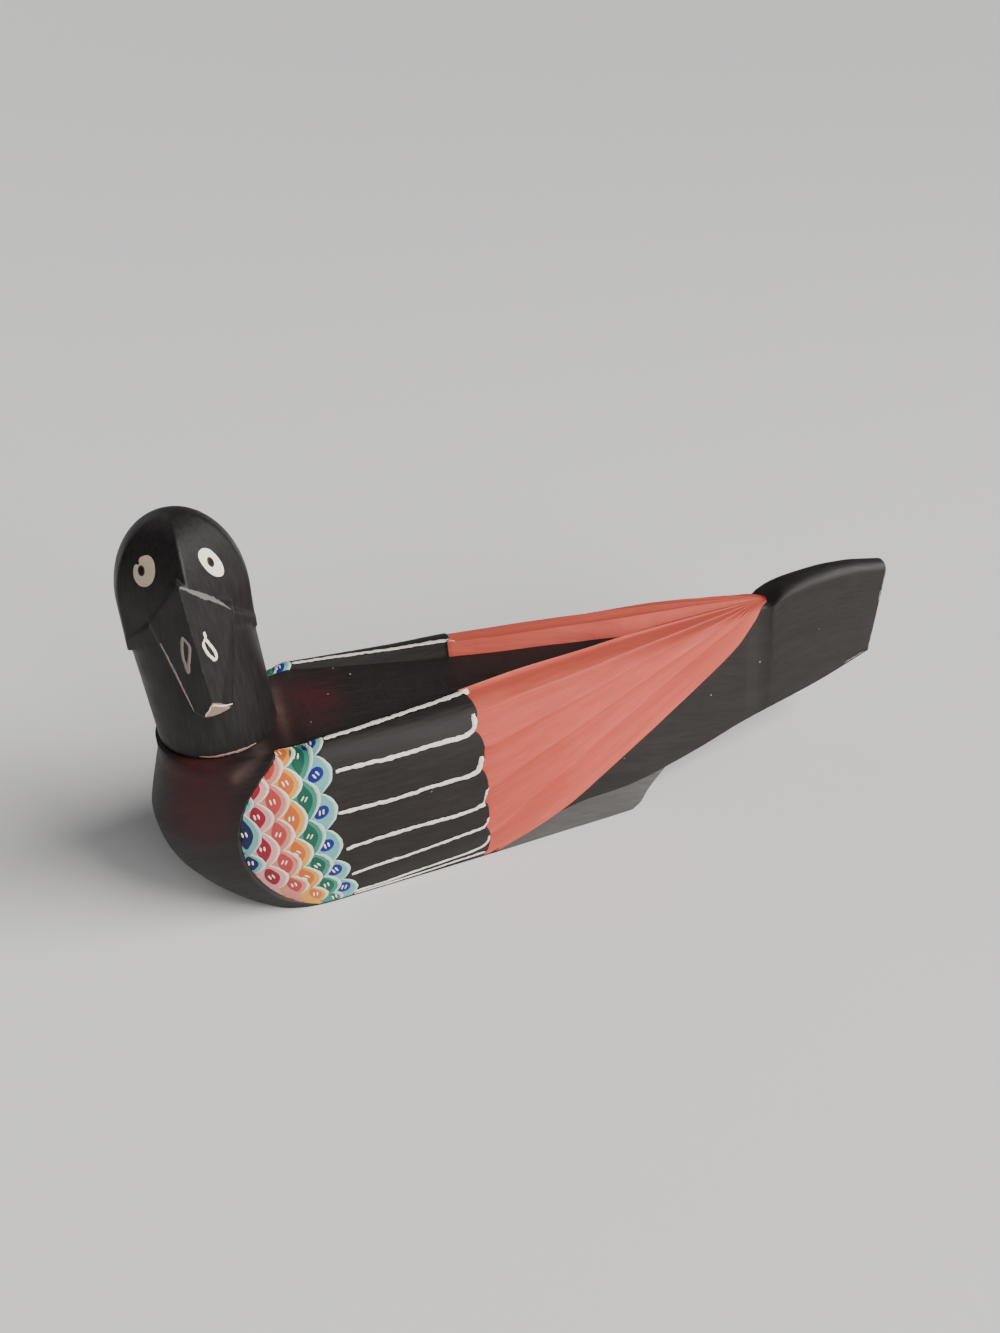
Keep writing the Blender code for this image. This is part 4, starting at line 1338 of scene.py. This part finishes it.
class Shader:
    """A material's node tree, with short ways to add what these paints need."""

    def __init__(self, name):
        self.material = bpy.data.materials.new(name)
        self.material.use_nodes = True
        self.tree = self.material.node_tree
        self.surface = self.tree.nodes["Principled BSDF"]

    def give(self, socket, value):
        """Joins another node's socket to a socket, or sets it to a value."""
        if isinstance(value, bpy.types.NodeSocket):
            self.tree.links.new(value, socket)
        else:
            socket.default_value = value

    def node(self, kind, inputs, **settings):
        """A node with its settings, and its inputs as sockets of other nodes or values."""
        made = self.tree.nodes.new(kind)
        for key, value in settings.items():
            setattr(made, key, value)
        for key, value in inputs.items():
            self.give(made.inputs[key], value)
        return made

    def attribute(self, name, output="Vector"):
        return self.node("ShaderNodeAttribute", {}, attribute_name=name).outputs[output]

    def place(self):
        return self.node("ShaderNodeTexCoord", {}).outputs["Object"]

    def noise(self, vector, scale, grain, stretch=(1, 1, 1)):
        """Noise from 0 to 1 over a vector, stretched by a scale on each axis."""
        mapped = self.node("ShaderNodeMapping", {"Vector": vector, "Scale": stretch}).outputs["Vector"]
        inputs = {"Vector": mapped, "Scale": scale, "Detail": grain[0], "Roughness": grain[1]}
        return self.node("ShaderNodeTexNoise", inputs).outputs["Fac"]

    def spread(self, value, low, high, to_low=0.0, to_high=1.0):
        """A value's range between two limits, widened to another range."""
        inputs = {"Value": value, "From Min": low, "From Max": high, "To Min": to_low, "To Max": to_high}
        return self.node("ShaderNodeMapRange", inputs).outputs["Result"]

    def times(self, first, second):
        return self.node("ShaderNodeMath", {0: first, 1: second}, operation="MULTIPLY").outputs[0]

    def mix(self, share, first, second, blend="MIX"):
        """One colour turned into another by a share. A colour is a tuple or a socket."""
        made = self.node("ShaderNodeMix", {"Factor": share}, data_type="RGBA", blend_type=blend)
        sockets = [socket for socket in made.inputs if socket.type == "RGBA"]
        for socket, colour in zip(sockets, (first, second)):
            self.give(socket, (*colour, 1) if isinstance(colour, tuple) else colour)
        return [socket for socket in made.outputs if socket.type == "RGBA"][0]

    def bump(self, height, distance, strength):
        """Brush marks of a height, in metres."""
        inputs = {"Height": height, "Distance": distance, "Strength": strength}
        self.give(self.surface.inputs["Normal"], self.node("ShaderNodeBump", inputs).outputs["Normal"])

    def finish(self, colour, roughness, sheen=SHEEN):
        """The material, with these on its surface."""
        self.give(self.surface.inputs["Base Color"], colour)
        self.give(self.surface.inputs["Roughness"], roughness)
        self.give(self.surface.inputs["Specular IOR Level"], sheen)
        return self.material


def streaks(made):
    """The body's fine and broad brush streaks, and the marks that its points carry, as x, y and z: maroon
    undercoat, wear with painted highlight, and painted shade in the flutes.
    """
    brush = made.attribute("brush")
    marks = made.node("ShaderNodeSeparateXYZ", {"Vector": made.attribute("marks")}).outputs
    return made.noise(brush, 1.0, FINE, STREAKS), made.noise(brush, 1.0, BROAD, LONG_STREAKS), marks


def black_paint(name, thin=BLACK_THIN, deep=BLACK_DEEP):
    """Satin black paint over carved wood: lengthwise streaks, maroon patches and a worn rim lightened as a
    painted highlight.
    """
    made = Shader(name)
    fine, broad, marks = streaks(made)
    streaked = made.times(made.spread(fine, 0.2, 0.85), made.spread(broad, *MOST, 0.45, 1.0))
    blotches = made.noise(made.place(), 90.0, FINE)
    patch = made.times(marks["X"], made.spread(blotches, 0.3, 0.55, 0.35, 1.0))
    # Wear and painted highlight: the black turns light brown along the bib's rim and round the neck's foot
    rubbed_and_highlight = made.times(marks["Y"], made.spread(blotches, 0.35, 0.62, 0.25, 1.0))
    colour = made.mix(patch, made.mix(streaked, deep, thin), MAROON)
    made.bump(fine, BRUSH_RELIEF, 0.6)
    return made.finish(made.mix(rubbed_and_highlight, colour, WORN_WOOD_AND_HIGHLIGHT), made.spread(fine, *MOST, *BLACK_ROUGHNESS))


def coral_paint():
    """Coral paint on the fluted feathers, streaked along the flutes, with painted shade darkening it below
    their crests.
    """
    made = Shader("coral paint")
    fine, broad, marks = streaks(made)
    streaked = made.times(made.spread(fine, 0.28, 0.75, 0.35, 1.0), made.spread(broad, *MOST, 0.35, 1.0))
    colour = made.mix(streaked, CORAL_DEEP, CORAL_THIN)
    # Painted shade below each flute's crest
    colour = made.mix(made.times(marks["Z"], PAINTED_SHADE_SHARE), colour, CORAL_PAINTED_SHADE)
    made.bump(fine, BRUSH_RELIEF, 0.7)
    return made.finish(colour, made.spread(fine, *MOST, *CORAL_ROUGHNESS), CORAL_SHEEN)


def head_paint():
    """Black paint on the head, with worn arrises and bare wood at the bill's tip."""
    made = Shader("black head paint")
    place = made.place()
    fine = made.noise(place, 1.0, FINE, HEAD_STREAKS)
    broad = made.noise(place, 140.0, BROAD)
    worn = made.spread(made.attribute("worn", "Fac"), 0.55, 1.3)
    bare = made.spread(made.attribute("bare", "Fac"), 0.15, 0.45)
    colour = made.mix(made.spread(fine, 0.35, 0.75), BLACK_DEEP, HEAD_THIN)
    colour = made.mix(made.times(worn, made.spread(broad, 0.42, 0.62)), colour, HEAD_WORN)
    made.bump(fine, HEAD_RELIEF, 0.4)
    return made.finish(made.mix(bare, colour, BARE_WOOD), made.spread(broad, *MOST, *HEAD_ROUGHNESS))


def stroke_paint(name):
    """The colours of the raised paint, as each mark carries them, with thin and thick places."""
    made = Shader(name)
    blotches = made.noise(made.place(), 900.0, MOTTLED)
    thick = made.spread(blotches, 0.35, 0.75, 0.0, 0.35)
    colour = made.mix(thick, made.attribute("paint", "Color"), THICK_PAINT, "MULTIPLY")
    made.bump(blotches, STROKE_RELIEF, 0.5)
    return made.finish(colour, made.spread(blotches, *MOST, *STROKE_ROUGHNESS))


def mark_worn(piece):
    """Gives each point of a mesh how convex it is there, for paint that wears on the arrises."""
    mesh = piece.data
    count = len(mesh.vertices)
    places = np.empty(count * 3)
    mesh.vertices.foreach_get("co", places)
    places = places.reshape(-1, 3)
    normals = np.empty(count * 3)
    mesh.vertex_normals.foreach_get("vector", normals)
    normals = normals.reshape(-1, 3)
    ends = np.empty(len(mesh.edges) * 2, int)
    mesh.edges.foreach_get("vertices", ends)
    ends = ends.reshape(-1, 2)
    here, there = np.vstack([ends, ends[:, ::-1]]).T
    links = np.bincount(here, minlength=count)
    around = [np.bincount(here, places[there, i], count) / links for i in range(3)]
    bulge = np.einsum("ij,ij->i", places - np.column_stack(around), normals) / HEAD_VOXEL
    for _ in range(2):
        bulge = (1 - WEAR_BLUR) * bulge + WEAR_BLUR * np.bincount(here, bulge[there], count) / links
    worn = mesh.attributes.new("worn", "FLOAT", "POINT")
    worn.data.foreach_set("value", np.clip(bulge / WEAR_BULGE, 0, 1))


def mark_bare(piece):
    """Marks the flat cut at the bill's tip, where the wood is bare."""
    start, out = (Vector(at) for at in bill_cut())
    bare = piece.data.attributes.new("bare", "FLOAT", "POINT")
    for vertex, value in zip(piece.data.vertices, bare.data):
        off = vertex.co - start
        if off.length < BARE_REACH and vertex.normal.dot(out) > BARE_FACING:
            value.value = max(1 - abs(off.dot(out)) / BARE_DEPTH, 0)


def dress(piece, paints):
    for paint in paints:
        piece.data.materials.append(paint)
    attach(piece, "root")


body = make_body()
# Dusty black with a painted reflection of the table, for the facet below the tail's crease
dust_and_sheen_paint = black_paint("dusty black paint with painted sheen", DUSTY_SHEEN_THIN, DUSTY_SHEEN_DEEP)
dress(body, (black_paint("black paint"), coral_paint(), dust_and_sheen_paint))
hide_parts("body")
head = make_painted_head()
mark_worn(head)
mark_bare(head)
dress(head, (head_paint(),))
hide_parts("head_and_neck")

for carrier, groups, name, slot in (
    (body, wing_groups, "wing_paint", "painted_body"),
    (head, head_groups, "face_paint", "painted_head"),
):
    surface = surface_of(carrier)
    raised_paint = painted_marks(name, groups(surface))
    face_outward(raised_paint, surface)
    dress(raised_paint, (stroke_paint(name.replace("_", " ")),))


# Soft daylight from the camera's right, a low soft light beside the camera, and the camera itself
DAYLIGHT_FROM = (0.72, -0.43, 0.60)
DAYLIGHT_STRENGTH = 5.0
DAYLIGHT_WIDTH = math.radians(42)
FRONT_PLACE = (0.8, -1.9, 0.7)
FRONT_SIZE = (1.2, 0.8)
FRONT_POWER = 27
BACKLIGHT_FROM = (-0.4, 0.8, 0.5)
BACKLIGHT_STRENGTH = 0.35
WORLD_COLOUR = (0.72, 0.75, 0.78)
WORLD_STRENGTH = 0.15
FLOOR_COLOUR = (0.80, 0.79, 0.78)
FLOOR_ROUGHNESS = 0.6
FLOOR_SIZE = 600
LIGHT_COLOUR = (1, 0.985, 0.97)
CAMERA_PLACE = (-0.13725, -0.2873, 0.2681)
CAMERA_TURN = (math.radians(56.3), 0, math.radians(-22))
CAMERA_LENS = 27.2
CAMERA_SENSOR = 36
CAMERA_NEAR = 0.01


def add_light(name, kind, place, power):
    """A light that shines at the duck from its place."""
    data = bpy.data.lights.new(name, kind)
    data.energy = power
    data.color = LIGHT_COLOUR
    made = bpy.data.objects.new(name, data)
    made.location = place
    made.rotation_euler = (-Vector(place)).to_track_quat("-Z", "Y").to_euler()
    bpy.context.scene.collection.objects.link(made)
    return data


def make_stage():
    """A pale table, the lights round it and the camera at the photo's angle."""
    bpy.ops.mesh.primitive_plane_add(size=FLOOR_SIZE, location=(0, 0, 0))
    floor = bpy.context.object
    floor.name = "floor"
    floor.data.materials.append(Shader("pale table").finish((*FLOOR_COLOUR, 1), FLOOR_ROUGHNESS))
    daylight = add_light("daylight", "SUN", DAYLIGHT_FROM, DAYLIGHT_STRENGTH)
    daylight.angle = DAYLIGHT_WIDTH
    front = add_light("front", "AREA", FRONT_PLACE, FRONT_POWER)
    front.shape = "RECTANGLE"
    front.size, front.size_y = FRONT_SIZE
    backlight = add_light("backlight", "SUN", BACKLIGHT_FROM, BACKLIGHT_STRENGTH)
    backlight.angle = DAYLIGHT_WIDTH
    world = bpy.data.worlds.new("studio")
    world.use_nodes = True
    background = world.node_tree.nodes["Background"]
    background.inputs["Color"].default_value = (*WORLD_COLOUR, 1)
    background.inputs["Strength"].default_value = WORLD_STRENGTH
    bpy.context.scene.world = world
    camera_data = bpy.data.cameras.new("camera")
    camera_data.lens = CAMERA_LENS
    camera_data.sensor_width = CAMERA_SENSOR
    camera_data.clip_start = CAMERA_NEAR
    camera = bpy.data.objects.new("camera", camera_data)
    camera.location = CAMERA_PLACE
    camera.rotation_euler = CAMERA_TURN
    bpy.context.scene.collection.objects.link(camera)
    bpy.context.scene.camera = camera


make_stage()
